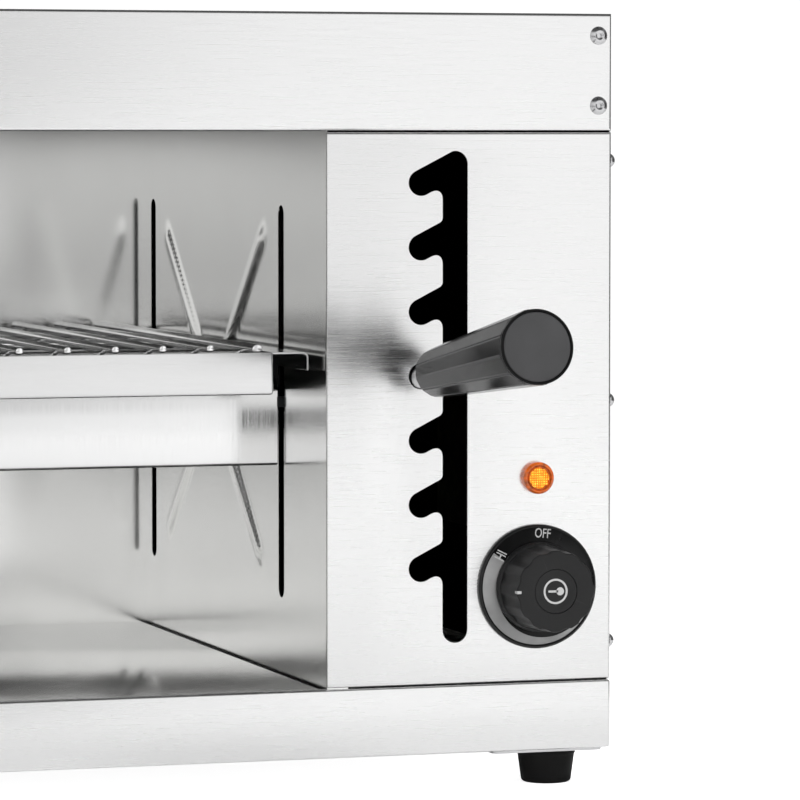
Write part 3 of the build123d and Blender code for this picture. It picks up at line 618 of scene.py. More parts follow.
class GRILL_OT_finishes(Operator):
    """Makes every finish and gives it to the frame's own pieces as well"""
    bl_idname = "grill.finishes"
    bl_label = "Finishes"

    def execute(self, context):
        c = context.scene.grill_colours
        shell, inner, black = tuple(c.shell), tuple(c.inner), tuple(c.black)
        brushed_steel("stainless_shell", shell, 0.24, (28, 28, 1100), (28, 1100, 1100), 0.03, 0.1)
        brushed_steel("rack_steel", shell, 0.12, (800, 800, 20), (800, 28, 28), 0.06, 0.08)
        brushed_steel("tray_steel", shade_of(shell, 0.85), 0.18, (20, 20, 700), (700, 20, 20), 0.05, 0.08)
        satin_steel("stainless_inner", inner, 0.15)
        satin_steel("reflector_steel", (0.7, 0.7, 0.7), 0.4)
        spangled_zinc("galvanised_base", (0.6, 0.61, 0.62))
        bright_metal("fastener_steel", (0.7, 0.7, 0.71), 0.2, (900, 900, 900))
        bright_metal("rod_steel", (0.62, 0.62, 0.63), 0.22, (120, 1600, 120))
        bright_metal("grid_chrome", (0.95, 0.95, 0.95), 0.2, (400, 60, 400), 0.9)
        bright_metal("bearing_brass", (0.7, 0.52, 0.24), 0.3, (200, 200, 1500))
        # The grip's ridges and rims are lightened nine times over: painted highlight along them, with some
        # rubbed wear.
        moulding("grip_black", black, 0.16, 9.0, 0.05, index=1.18)
        moulding("knob_black", shade_of(black, 1.4), 0.38, 2.6, 0.12, shine=0.35)
        moulding("bezel_black", shade_of(black, 1.2), 0.3, 2.0, 0.06, shine=0.35)
        moulding("grip_cap_grey", shade_of(black, 9), 0.6, 1.3, 0.4)
        moulding("gland_plastic", shade_of(black, 3), 0.4)
        moulding("foot_rubber", tuple(c.rubber), 0.6, 1.8, 0.35, shine=0.15)
        moulding("mark_white", (0.55, 0.55, 0.55), 0.45, 1.0)
        moulding("dial_scale", tuple(c.scale), 0.4, 1.05)
        moulding("regulator_beige", (0.62, 0.58, 0.46), 0.5, 1.15)
        moulding("ceramic_white", (0.82, 0.8, 0.75), 0.25, 1.05, 0.05, 0.4)
        lit_amber("lamp_amber", tuple(c.amber), 0.2)
        lit_amber("lamp_glow", tuple(c.glow), 0.75, 0.0013)
        heated_sheath("element_sheath")
        mineral_fibre("insulation_fibre")
        return {"FINISHED"}


# ---------------------------------------------------------------- housing

class GRILL_OT_hood(Operator):
    """Fascia, roof, side returns and lower lip, folded from one sheet"""
    bl_idname = "grill.hood"
    bl_label = "Hood"

    def execute(self, context):
        sheet = context.scene.grill_sheet
        wall = sheet.thickness / MM
        low, high = hood_low, hood_high
        bm = bmesh.new()
        block(bm, low, high)
        round_edges(bm, edges_where(bm, lambda p: near(p.y, low.y)), sheet.bend / MM)
        divide(bm, (0, FLANGE, 0), (0, 1, 0))
        divide(bm, (low.x + wall, 0, 0), (1, 0, 0))
        divide(bm, (high.x - wall, 0, 0), (1, 0, 0))
        drop_faces(bm, faces_where(bm, lambda p: p.y > FLANGE and not (
            near(p.z, high.z) and low.x + wall < p.x < high.x - wall)))
        obj = piece("hood_shell", bm, "stainless_shell", "housing", ["hood"])
        thicken(obj, sheet.thickness)
        soften(obj, 0.0002)
        return {"FINISHED"}


def comb_cutter(comb):
    """The upright channel with its sloping notches, as a solid that passes through the panel."""
    half, top, bottom = 7.05, 290.25, 22.95
    channel_x, notch_x, end_r, rest_z = 72.5, 53.1, 7.0, 168.4
    pitch = comb.pitch / MM
    run = Vector((cos(comb.slope), sin(comb.slope)))
    side = Vector((-run.y, run.x)) * end_r
    edge_x = channel_x - half
    bm = bmesh.new()

    def point(x, z):
        return bm.verts.new((x, -3, z))

    def meet(start, x):
        """Height at which a line along the notch's slope reaches a given x."""
        return start.y + (x - start.x) * tan(comb.slope)

    outline = [point(channel_x + half, top), point(channel_x + half, bottom), point(edge_x, bottom)]
    channel_ends = list(outline)
    notch_ends, below, above = [], [], []
    for i in range(comb.notches):
        foot = Vector((notch_x, rest_z + (i - comb.notches // 2) * pitch))
        lower, upper = foot - side, foot + side
        below.append(point(edge_x, meet(lower, edge_x)))
        ends = [point(*(lower - run * end_r)), point(*(upper - run * end_r))]
        notch_ends += ends
        outline += [below[-1], *ends]
        if i < comb.notches - 1:
            above.append(point(edge_x, meet(upper, edge_x)))
            outline.append(above[-1])
    crest = point(upper.x + (top - upper.y) / tan(comb.slope), top)
    outline.append(crest)
    face = bm.faces.new(outline)
    face.normal_update()
    channel_ends.append(crest)
    lower_r, upper_r = 4.5, 3.0
    lean = comb.slope / 2
    round_corners(bm, notch_ends, end_r)
    round_corners(bm, channel_ends[:3], half)
    round_corners(bm, channel_ends[3:], 1.2, 3)
    round_corners(bm, below, lower_r / tan(pi / 4 - lean), 6)
    round_corners(bm, above, upper_r / tan(pi / 4 + lean), 5)
    bmesh.ops.remove_doubles(bm, verts=bm.verts, dist=0.01)
    pushed = bmesh.ops.extrude_face_region(bm, geom=bm.faces[:])["geom"]
    bmesh.ops.translate(bm, vec=(0, 7, 0), verts=verts_in(pushed))
    return bm


class GRILL_OT_comb_panel(Operator):
    """Front plate of the control box, with its bends and the comb slot"""
    bl_idname = "grill.comb_panel"
    bl_label = "Comb panel"

    def execute(self, context):
        sheet = context.scene.grill_sheet
        low, high = panel_low, panel_high
        bm = bmesh.new()
        block(bm, low, high)
        bends = [e for e in edges_where(bm, lambda p: near(p.y, low.y))
                 if not all(near(v.co.x, low.x) for v in e.verts)]
        round_edges(bm, bends, sheet.bend / MM)
        divide(bm, (low.x + FLANGE + 2, 0, 0), (1, 0, 0))
        drop_faces(bm, faces_where(bm, lambda p: near(p.y, high.y) or near(p.x, low.x) or (
            p.x < low.x + FLANGE + 2 and p.y > low.y + 3)))
        obj = piece("comb_panel", bm, "stainless_shell", "housing", ["control_panel"])
        thicken(obj, sheet.thickness)
        cut_away(obj, comb_cutter(context.scene.grill_comb))
        soften(obj, 0.00018)
        return {"FINISHED"}


class GRILL_OT_left_post(Operator):
    """Narrow plate that closes the left wall"""
    bl_idname = "grill.left_post"
    bl_label = "Left post"

    def execute(self, context):
        sheet = context.scene.grill_sheet
        low, high = spans("left_front_post")
        bm = bmesh.new()
        block(bm, low, high)
        bends = [e for e in edges_where(bm, lambda p: near(p.y, low.y))
                 if not all(near(v.co.x, high.x) for v in e.verts)]
        round_edges(bm, bends, sheet.bend / MM)
        drop_faces(bm, faces_where(bm, lambda p: near(p.y, high.y) or near(p.x, high.x)))
        obj = piece("left_post", bm, "stainless_shell", "housing", ["left_front_post"])
        thicken(obj, sheet.thickness)
        soften(obj, 0.0002)
        return {"FINISHED"}


class GRILL_OT_plinth(Operator):
    """Folded tray under the housing, with a hemmed rim and a ledge for the floor"""
    bl_idname = "grill.plinth"
    bl_label = "Plinth"

    def execute(self, context):
        sheet = context.scene.grill_sheet
        low, high = plinth_low, plinth_high
        hem, ledge_drop, ledge = 2.4, 1.2, 11.0
        bm = bmesh.new()
        made = block(bm, low, high)
        round_edges(bm, edges_of(made), sheet.bend / MM * 0.8)
        for inward, drop in ((hem, 0), (0.01, -ledge_drop), (ledge, 0)):
            lid = faces_where(bm, lambda p: near(p.x, CENTRE_X) and near(p.y, (low.y + high.y) / 2)
                              and p.z > low.z + 10)
            bmesh.ops.inset_region(bm, faces=lid, thickness=inward, use_even_offset=True)
            bmesh.ops.translate(bm, vec=(0, 0, drop), verts=list({v for f in lid for v in f.verts}))
        drop_faces(bm, lid)
        obj = piece("plinth_tray", bm, "stainless_shell", "housing", ["base_plinth"])
        thicken(obj, sheet.thickness)
        soften(obj, 0.0002)
        return {"FINISHED"}


class GRILL_OT_shade_sheets(Operator):
    """Dark sheets that back the vents of the right side cover and of the control box's rear: painted shade,
    no part of the grill, that keeps light from coming in through the vents
    """
    bl_idname = "grill.vent_screen"
    bl_label = "Shade sheets"

    def execute(self, context):
        bm = bmesh.new()
        made = block(bm, (159.6, 136, 66), (160.4, 294, 174))
        made += block(bm, (34, 396.4, 160), (130, 397.2, 276))
        round_edges(bm, edges_of(made), 0.2, 1)
        piece("vent_screen", bm, "galvanised_base", "housing", finish="element_sheath")
        return {"FINISHED"}


class GRILL_OT_floor_sheet(Operator):
    """Loose floor sheet of the cavity, lying inside the plinth's rim"""
    bl_idname = "grill.floor_sheet"
    bl_label = "Floor sheet"

    def execute(self, context):
        low, high = spans("cavity_floor")
        gap = 3.0
        bm = bmesh.new()
        made = block(bm, (CAVITY_LEFT + gap, low.y + gap, low.z), (-gap, high.y - gap, high.z))
        round_edges(bm, edges_of(made), 0.35, 3)
        piece("floor_sheet", bm, "stainless_inner", "housing", ["cavity_floor"])
        return {"FINISHED"}


RIBS = (((336, 245), (122, 54.5)), ((117, 248.5), (335, 55)))
RIB_HALF_TOP = 1.5
RIB_HALF_FOOT = 7.5
RIB_FADE = 15.0


def rib_height(y, z):
    """How far the pressed ribs stand proud at a place on the wall, from 0 to 1."""
    best = 0.0
    for (y0, z0), (y1, z1) in RIBS:
        start, run = Vector((y0, z0)), Vector((y1 - y0, z1 - z0))
        length = run.length
        run.normalize()
        offset = Vector((y, z)) - start
        along = offset.dot(run)
        across = (offset - run * along).length
        side = min(1.0, max(0.0, (RIB_HALF_FOOT - across) / (RIB_HALF_FOOT - RIB_HALF_TOP)))
        end = min(1.0, max(0.0, min(along, length - along) / RIB_FADE))
        side, end = side * side * (3 - 2 * side), end * end * (3 - 2 * end)
        best = max(best, side * end)
    return best


def slot_cutter(node_low, node_high):
    """The two upright slots that the rack's tabs travel in."""
    bm = bmesh.new()
    length, width = 218.4, 11.0
    for y in TAB_DEPTHS:
        made = block(bm, (node_low, y - width / 2, TAB_LEVEL - length / 2),
                     (node_high, y + width / 2, TAB_LEVEL + length / 2))
        ends = [e for e in edges_of(made) if near(e.verts[0].co.z, e.verts[1].co.z)
                and near(e.verts[0].co.y, e.verts[1].co.y)]
        round_edges(bm, ends, width / 2 - 0.02, 8)
    return bm


class GRILL_OT_inner_walls(Operator):
    """The two cavity walls, each with pressed crossed ribs and two rack slots"""
    bl_idname = "grill.inner_walls"
    bl_label = "Inner walls"

    def execute(self, context):
        sheet = context.scene.grill_sheet
        proud = sheet.rib_height / MM
        low, high = spans("right_inner_wall")
        front, foot, mesh_step = low.y + 0.4, -0.4, 2.6
        width, height = high.y - front, high.z - foot
        turn = Matrix(((0, 0, -1, 0), (-1, 0, 0, 0), (0, 1, 0, 0), (0, 0, 0, 1)))
        place = Matrix.Translation((0, front + width / 2, foot + height / 2)) @ turn
        place = place @ Matrix.Diagonal((width, height, 1, 1))
        for name, node, flip in (("right_wall_skin", "right_inner_wall", 1),
                                 ("left_wall_skin", "left_inner_wall", -1)):
            bm = bmesh.new()
            bmesh.ops.create_grid(bm, x_segments=round(width / mesh_step),
                                  y_segments=round(height / mesh_step), size=0.5, matrix=place)
            edge = edges_where(bm, lambda p: near(p.y, front))
            flange = bmesh.ops.extrude_edge_only(bm, edges=edge)["geom"]
            bmesh.ops.translate(bm, vec=(FLANGE, 0, 0), verts=verts_in(flange))
            round_edges(bm, edges_where(bm, lambda p: near(p.y, front) and near(p.x, 0)), 0.9, 3)
            for v in bm.verts:
                if near(v.co.x, 0):
                    v.co.x -= proud * rib_height(v.co.y, v.co.z)
            if flip < 0:
                bmesh.ops.mirror(bm, geom=[], axis="X")
                bmesh.ops.scale(bm, vec=(-1, 1, 1), verts=bm.verts)
                bmesh.ops.translate(bm, vec=(CAVITY_LEFT, 0, 0), verts=bm.verts)
            obj = piece(name, bm, "stainless_inner", "housing", [node])
            thicken(obj, sheet.thickness)
            middle_x = 0 if flip > 0 else CAVITY_LEFT
            cut_away(obj, slot_cutter(middle_x - 6, middle_x + 6))
        return {"FINISHED"}


# ---------------------------------------------------------------- fasteners and feet

def repeated(template, places):
    """One bmesh with a copy of a mesh at each place."""
    bm = bmesh.new()
    for place in places:
        before = len(bm.verts)
        bm.from_mesh(template)
        bm.verts.ensure_lookup_table()
        bmesh.ops.transform(bm, matrix=place, verts=bm.verts[before:])
    bpy.data.meshes.remove(template)
    return bm


def dome(radius, height, count=7):
    """Profile of a domed head from its rim to its crown."""
    ball = (radius ** 2 + height ** 2) / (2 * height)
    spread = atan2(radius, ball - height)
    return [(ball * sin(spread * (1 - i / count)), height - ball + ball * cos(spread * (1 - i / count)))
            for i in range(count + 1)]


class GRILL_OT_rivets(Operator):
    """Blind rivets of the fascia: a dome round a bright ring and a dark hole"""
    bl_idname = "grill.rivets"
    bl_label = "Rivets"

    def execute(self, context):
        low, high = spans("fascia_rivets")
        head_r, head_h, hole_r = 5.0, 2.4, 1.45
        profile = [p for p in dome(head_r, head_h, 12) if p[0] > hole_r + 1.0]
        rim_h = profile[-1][1]
        profile += [(hole_r + 0.85, rim_h + 0.02), (hole_r + 0.6, rim_h - 0.22), (hole_r, rim_h - 0.5),
                    (hole_r, 0.1), (0, 0.1)]
        profile.insert(0, (head_r, -0.3))
        bm = bmesh.new()
        lathe(bm, profile, 48)
        template = mesh_of("rivet", bm)
        places = [on_front(x, z) for x in (low.x + head_r, high.x - head_r)
                  for z in (low.z + head_r, high.z - head_r)]
        piece("rivet_heads", repeated(template, places), "fastener_steel", "housing", ["fascia_rivets"],
              place=Matrix.Identity(4), angle=50)
        return {"FINISHED"}


def cross_head(radius, height):
    """A domed screw head with a cross recess."""
    bm = bmesh.new()
    lathe(bm, [(0, -3), (2.0, -3), (2.0, -0.2), (radius, -0.2), *dome(radius, height)], 40)
    head = new_object("head", mesh_of("head", bm))
    arm, web = radius * 0.52, radius * 0.13
    for reach_x, reach_y in ((arm, web), (web, arm)):
        cutter = bmesh.new()
        made = block(cutter, (-reach_x, -reach_y, height * 0.25), (reach_x, reach_y, height + 2))
        for v in made:
            if v.co.z < height:
                v.co.xy *= 0.55
        cut_away(head, cutter, place=Matrix.Identity(4))
    mesh = head.data
    bpy.data.objects.remove(head)
    return mesh


class GRILL_OT_screws(Operator):
    """Domed cross-head screws of the sides and the back"""
    bl_idname = "grill.screws"
    bl_label = "Screws"

    def execute(self, context):
        low, high = spans("side_screws")
        head_r, head_h, level = 4.0, 3.3, 153.5
        y = (low.y + high.y) / 2
        places = [facing((x, y, z), (way, 0, 0)) @ Matrix.Rotation(z, 4, "Z")
                  for x, way in ((plinth_high.x, 1), (plinth_low.x, -1))
                  for z in (low.z + head_r, level, high.z - head_r)]
        piece("side_screw_heads", repeated(cross_head(head_r, head_h - 0.05), places), "fastener_steel",
              "housing", ["side_screws"], place=Matrix.Identity(4), angle=50)
        low, high = spans("rear_screws")
        head_r, head_h = 3.8, 2.4
        places = [facing((x, plinth_high.y, z), (0, 1, 0)) @ Matrix.Rotation(z + x, 4, "Z")
                  for x in (low.x + head_r, high.x - head_r)
                  for z in (low.z + head_r, (low.z + high.z) / 2, high.z - head_r)]
        piece("rear_screw_heads", repeated(cross_head(head_r, head_h - 0.05), places), "fastener_steel",
              "housing", ["rear_screws"], place=Matrix.Identity(4), angle=50)
        return {"FINISHED"}


FEET = ("foot_front_left", "foot_front_right", "foot_rear_left", "foot_rear_right")


class GRILL_OT_feet(Operator):
    """Tapered rubber feet under thin steel plates"""
    bl_idname = "grill.feet"
    bl_label = "Feet"

    def execute(self, context):
        plate_t, long_side, short_side, inward = 1.6, 64.0, 42.0, 6.0
        plates = bmesh.new()
        for node in FEET:
            low, high = spans(node)
            x, y = (low.x + high.x) / 2, (low.y + high.y) / 2
            top_r, bottom_r, height = (high.x - low.x) / 2, 13.6, high.z - low.z
            bm = bmesh.new()
            lathe(bm, [(3.2, 0), (top_r, 0), (top_r, -2.6), (top_r - 0.5, -3.4), (bottom_r, -height),
                       (6.2, -height), (6.2, -height + 6), (3.2, -height + 6), (3.2, 0)], 64,
                  ((1, 0.5), (2, 0.3), (3, 0.3), (4, 1.8), (5, 0.5)), 4)
            piece("rubber_" + node, bm, "foot_rubber", "housing", [node],
                  place=to_frame @ Matrix.Translation((x, y, high.z)), angle=50)
            shift = -inward if x > CENTRE_X else inward
            made = block(plates, (x + shift - long_side / 2, y - short_side / 2, high.z),
                         (x + shift + long_side / 2, y + short_side / 2, high.z + plate_t))
            round_edges(plates, upright_edges(made), 4.0, 6)
        obj = piece("plates_over_feet", plates, "fastener_steel", "housing", ["foot_plates"])
        soften(obj, 0.0003)
        return {"FINISHED"}


# ---------------------------------------------------------------- dial, knob and lamp

def clock(degrees_from_top):
    """Direction on the front for an angle measured clockwise from twelve o'clock."""
    a = radians(degrees_from_top)
    return Vector((sin(a), cos(a), 0))


def lettering(text, size, place, thickness=0.05):
    """Plain raised letters, as a bmesh, centred on their place."""
    curve = bpy.data.curves.new("letters", "FONT")
    curve.body = text
    curve.size = size
    curve.align_x = "CENTER"
    curve.align_y = "CENTER"
    curve.extrude = thickness
    curve.offset = 0.006 * size
    curve.resolution_u = 6
    obj = new_object("letters", curve)
    depsgraph = bpy.context.evaluated_depsgraph_get()
    mesh = bpy.data.meshes.new_from_object(obj.evaluated_get(depsgraph))
    bpy.data.objects.remove(obj)
    bpy.data.curves.remove(curve)
    bm = bmesh.new()
    bm.from_mesh(mesh)
    bpy.data.meshes.remove(mesh)
    bmesh.ops.transform(bm, matrix=place, verts=bm.verts)
    return bm


class GRILL_OT_dial(Operator):
    """Fixed dial ring with its tapering scale and lettering"""
    bl_idname = "grill.dial"
    bl_label = "Dial ring"

    def execute(self, context):
        centre = middle("knob_bezel")
        place = on_front(centre.x, centre.z)
        outer_r, bore_r, rim, face = 34.0, 20.0, 2.8, 2.2
        band_start, band_sweep = 307.0, 198.0
        bm = bmesh.new()
        lathe(bm, [(outer_r, 0), (outer_r, 1.8), (outer_r - 1.0, rim), (32.9, rim), (32.2, face),
                   (bore_r, face), (bore_r, 0), (outer_r, 0)], 128, ((1, 0.4), (2, 0.15), (3, 0.2)))
        piece("dial_ring", bm, "bezel_black", "housing", ["knob_bezel"], place=place, angle=50)
        band = bmesh.new()
        inner_r, wide_r, layer = 20.9, 31.8, Vector((0, 0, face + 0.03))
        ends = [band.verts.new(clock(band_start) * r + layer) for r in (inner_r, wide_r)]
        edge = band.edges.new(ends)
        bmesh.ops.spin(band, geom=[edge, *ends], cent=(0, 0, 0), axis=(0, 0, 1), angle=radians(band_sweep),
                       steps=72, use_duplicate=False)
        for v in band.verts:
            if v.co.xy.length < wide_r - 1:
                turned = (atan2(v.co.y, v.co.x) - radians(90 - band_start) + LIGHT) % (2 * pi)
                taper = min(1.0, turned / radians(band_sweep))
                v.co.xy = v.co.xy.normalized() * (inner_r + (wide_r - 0.2 - inner_r) * taper)
        piece("dial_band", band, "mark_white", "housing", place=place, finish="dial_scale")
        words = bmesh.new()
        for text, angle, lean, size, narrow, r in (("OFF", 5.5, 5.5, 7.4, 0.72, 29.1),
                                                   ("HI", 309.5, 297.0, 8.6, 0.64, 27.4)):
            turn = Matrix.Rotation(-radians(lean), 4, "Z") @ Matrix.Diagonal((narrow, 1, 1, 1))
            letters = lettering(text, size, Matrix.Translation(clock(angle) * r + layer) @ turn)
            mesh = mesh_of("letters", letters)
            words.from_mesh(mesh)
            bpy.data.meshes.remove(mesh)
        piece("dial_letters", words, "mark_white", "housing", place=place)
        return {"FINISHED"}


def press_scallops(bm, front_r, count, inside_r):
    """Presses finger hollows into a turned knob, each following the side of a cylinder."""
    step, flute_r, distance = 2 * pi / count, 9.0, front_r + 8.1
    for v in bm.verts:
        if v.co.xy.length < inside_r:
            continue
        away = (atan2(v.co.y, v.co.x) - step / 2) % step
        away = min(away, step - away)
        reach = flute_r ** 2 - (distance * sin(away)) ** 2
        if reach > 0:
            v.co.xy *= min(1.0, (distance * cos(away) - sqrt(reach)) / front_r)


class GRILL_OT_knob(Operator):
    """Knob with a scalloped grip, a base ring, a pointer and a marked cap"""
    bl_idname = "grill.knob"
    bl_label = "Knob"

    def execute(self, context):
        centre = middle("knob")
        place = on_front(centre.x, centre.z)
        base_r, rear_r, front_r, reach, recess_r = 24.6, 23.2, 22.2, 32.0, 12.1
        bm = bmesh.new()
        lathe(bm, [(rear_r - 2.0, 5.4), (rear_r, 5.4), (front_r, reach), (recess_r, reach),
                   (recess_r, reach - 1.5), (0, reach - 1.5)], 288, ((2, 0.8), (3, 0.3)), 5)
        press_scallops(bm, front_r, context.scene.grill_grip.scallops, recess_r + 3)
        lathe(bm, [(0, 3.2), (base_r, 3.2), (base_r, 5.6), (base_r - 1.2, 6.8), (rear_r - 1.5, 6.8)], 144,
              ((1, 0.3), (2, 0.5), (3, 0.3)), 3)
        piece("knob_grip", bm, "knob_black", "knob_group", ["knob"], place=place, angle=40)
        pointer = bmesh.new()
        made = block(pointer, (-front_r - 0.14, -0.85, reach - 7.9), (-front_r + 2.4, 0.85, reach + 0.08))
        round_edges(pointer, edges_of(made), 0.25, 2)
        piece("pointer_inlay", pointer, "mark_white", "knob_group", ["knob_pointer"], place=place)
        cap = bmesh.new()
        cap_r, dish = recess_r - 0.1, 0.7
        lathe(cap, [(0, reach - 1.5), (cap_r, reach - 1.5), (cap_r, reach - 0.3),
                    (cap_r - 2, reach - 0.45), (cap_r - 4.5, reach - 0.3 - dish),
                    (0, reach - 0.3 - dish)], 96, ((2, 0.3), (4, 2.0)), 4)
        piece("cap_disc", cap, "knob_black", "knob_group", ["knob_cap"], place=place, angle=50)
        mark = bmesh.new()
        face = reach - 0.28 - dish
        lathe(mark, [(5.8, face), (6.9, face), (6.9, face + 0.06), (5.8, face + 0.06), (5.8, face)], 72)
        made = block(mark, (-4.2, -0.6, face), (1.5, 0.6, face + 0.06))
        round_edges(mark, upright_edges(made), 0.4, 3)
        bmesh.ops.create_cone(mark, cap_ends=True, segments=32, radius1=2.2, radius2=2.2, depth=0.06,
                              matrix=Matrix.Translation((2.6, 0, face + 0.03)))
        piece("cap_mark", mark, "mark_white", "knob_group", place=place)
        return {"FINISHED"}


class GRILL_OT_lamp(Operator):
    """Pilot lamp: an amber rim round a lit core of small pyramids"""
    bl_idname = "grill.lamp"
    bl_label = "Pilot lamp"

    def execute(self, context):
        centre = middle("pilot_lamp_lens")
        place = on_front(centre.x, centre.z)
        rim_r, core_r, proud, facet = 8.75, 5.7, 4.4, 1.15
        bm = bmesh.new()
        lathe(bm, [(rim_r, 0), (rim_r, 3.4), (rim_r - 1.3, 4.6), (7.1, 4.3), (6.6, 3.0), (6.4, 3.0),
                   (6.2, 4.0), (5.8, 4.2), (5.8, 2.6), (0, 2.6)], 80,
              ((1, 0.6), (2, 0.6), (6, 0.2), (7, 0.2)), 4)
        piece("lamp_rim", bm, "lamp_amber", "housing", ["pilot_lamp_lens"], place=place, angle=45)
        core = bmesh.new()
        count = 10
        turn = Matrix.Translation((0, 0, proud - 0.8)) @ Matrix.Rotation(radians(8), 4, "Z")
        bmesh.ops.create_grid(core, x_segments=count, y_segments=count, size=facet * count / 2, matrix=turn)
        drop_faces(core, faces_where(core, lambda p: p.xy.length > core_r + 0.1))
        bmesh.ops.poke(core, faces=core.faces[:], offset=0.55)
        for v in core.verts:
            if v.co.xy.length > core_r:
                v.co.xy = v.co.xy.normalized() * core_r
        piece("lamp_core", core, "lamp_amber", "housing", place=place, finish="lamp_glow", angle=10)
        return {"FINISHED"}


# ---------------------------------------------------------------- rack, tray and grid

class GRILL_OT_rack_shelf(Operator):
    """Shelf that carries the tray: deep skirts with hemmed lower edges, and tabs through the wall slots"""
    bl_idname = "grill.rack_shelf"
    bl_label = "Rack shelf"

    def execute(self, context):
        low, high = spans("rack_carrier")
        left, right = CAVITY_LEFT + 2.2, -2.2
        wall, lip, hem = 1.6, 14.0, 9.0
        bm = bmesh.new()
        block(bm, (left, low.y, low.z), (right, high.y, high.z))
        bends = edges_where(bm, lambda p: near(p.z, high.z)) + edges_where(bm, lambda p: near(p.z, low.z))
        bends = [e for e in bends if not near(e.verts[0].co.x, e.verts[1].co.x)]
        round_edges(bm, bends, 2.4, 5)
        divide(bm, (0, low.y + hem, 0), (0, 1, 0))
        divide(bm, (0, high.y - hem, 0), (0, 1, 0))
        divide(bm, (0, 0, high.z - lip), (0, 0, 1))
        drop_faces(bm, faces_where(bm, lambda p: (
            near(p.z, low.z) and low.y + hem < p.y < high.y - hem) or (
            p.z < high.z - lip and (near(p.x, left) or near(p.x, right)))))
        obj = piece("rack_shelf", bm, "rack_steel", "rack", ["rack_carrier"])
        thicken(obj, wall * MM)
        windows = bmesh.new()
        for i in range(5):
            made = block(windows, (-420 + 80 * i, 120, high.z - 5), (-360 + 80 * i, 331, high.z + 5))
            round_edges(windows, upright_edges(made), 8, 5)
        cut_away(obj, windows)
        soften(obj, 0.0003)
        tabs = bmesh.new()
        for y in TAB_DEPTHS:
            for wall_x, outward in ((0, 1), (CAVITY_LEFT, -1)):
                for near_x, far_x, half in ((-3, 4, 3.0), (3, 13, 6.3)):
                    xs = sorted((wall_x + near_x * outward, wall_x + far_x * outward))
                    block(tabs, (xs[0], y - 1, TAB_LEVEL - half), (xs[1], y + 1, TAB_LEVEL + half))
        # The steel tabs take the black bezel finish as painted shade, so that the wall slots read dark.
        obj = piece("rack_tabs", tabs, "rack_steel", "rack", finish="bezel_black")
        soften(obj, 0.0003)
        return {"FINISHED"}


class GRILL_OT_tray(Operator):
    """Drip tray with rounded corners and side flanges that turn out and down"""
    bl_idname = "grill.tray"
    bl_label = "Drip tray"

    def execute(self, context):
        low, high = spans("drip_tray")
        reach, drop, wall = 20.0, 10.0, 1.0
        left, right = low.x + reach, high.x - reach
        bm = bmesh.new()
        made = block(bm, (left, low.y, low.z), (right, high.y, high.z))
        keep_top = [e for e in edges_of(made) if not (near(e.verts[0].co.z, high.z)
                                                      and near(e.verts[1].co.z, high.z))]
        round_edges(bm, keep_top, 1.6, 4)
        drop_faces(bm, faces_where(bm, lambda p: near(p.z, high.z)))
        obj = piece("tray_pan", bm, "tray_steel", "tray", ["drip_tray"])
        thicken(obj, wall * MM)
        soften(obj, 0.0002)
        flanges = bmesh.new()
        for x, way in ((right, 1), (left, -1)):
            outline = [(-wall, 0), (reach, 0), (reach, -drop), (reach - wall, -drop), (reach - wall, -wall),
                       (-wall, -wall)]
            section(flanges, outline, (x, low.y + 1.4, high.z), high.y - low.y - 2.8, (way, 0, 0),
                    (0, 0, 1), (0, 1, 0))
            for depth, radius in ((0, 3.0), (wall, 2.0)):
                bend = edges_where(flanges, lambda p: near(p.x, x + way * (reach - depth))
                                   and near(p.z, high.z - depth))
                round_edges(flanges, bend, radius, 5)
        obj = piece("tray_flanges", flanges, "tray_steel", "tray")
        soften(obj, 0.00015)
        return {"FINISHED"}


class GRILL_OT_grid(Operator):
    """Wire grid: bars from front to back on cross wires, with thicker edge bars and four legs"""
    bl_idname = "grill.grid"
    bl_label = "Wire grid"

    def execute(self, context):
        low, high = spans("wire_grid")
        foot_z = spans("grid_legs")[0].z
        thin_r, edge_r, rail_r, leg_in, rail_in = 2.1, 3.0, 3.0, 4.0, 26.0
        bars = context.scene.grill_grid.bars
        first, last = low.x + edge_r, high.x - edge_r
        rail_z = high.z - 2 * thin_r - rail_r + 0.6
        bm = bmesh.new()
        for i in range(1, bars + 1):
            x = first + (last - first) * i / (bars + 1)
            wire(bm, (x, low.y, high.z - thin_r), (x, high.y, high.z - thin_r), thin_r, 20, 0.7)
        for x in (first, last):
            wire(bm, (x, low.y, high.z - edge_r), (x, high.y, high.z - edge_r), edge_r, 24, 0.9)
        for y in (low.y + rail_in, (low.y + high.y) / 2, high.y - rail_in):
            wire(bm, (first, y, rail_z), (last, y, rail_z), rail_r, 20, 0.7)
        for x in (first + leg_in, last - leg_in):
            for y in (low.y + rail_in, high.y - rail_in):
                wire(bm, (x, y, foot_z), (x, y, rail_z), rail_r, 20, 0.9)
        piece("grid_wires", bm, "grid_chrome", "grid", ["wire_grid", "grid_legs"], angle=40)
        return {"FINISHED"}


# ---------------------------------------------------------------- handle

def handle_place():
    """Place along the handle: Z runs from the pivot out through the grip, X along the pivot pin."""
    swing = next(j for j in frame["joints"] if j["name"] == "handle_swing")
    pivot = Vector(swing["pos_m"])
    pin = Vector(swing["axis"]).normalized()
    low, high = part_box("grip_cap")
    rod = ((low + high) / 2 - pivot).normalized()
    side = rod.cross(pin).normalized()
    pin = side.cross(rod)
    turn = Matrix((pin, side, rod)).transposed().to_4x4()
    return Matrix.Translation(pivot) @ turn @ Matrix.Scale(MM, 4)


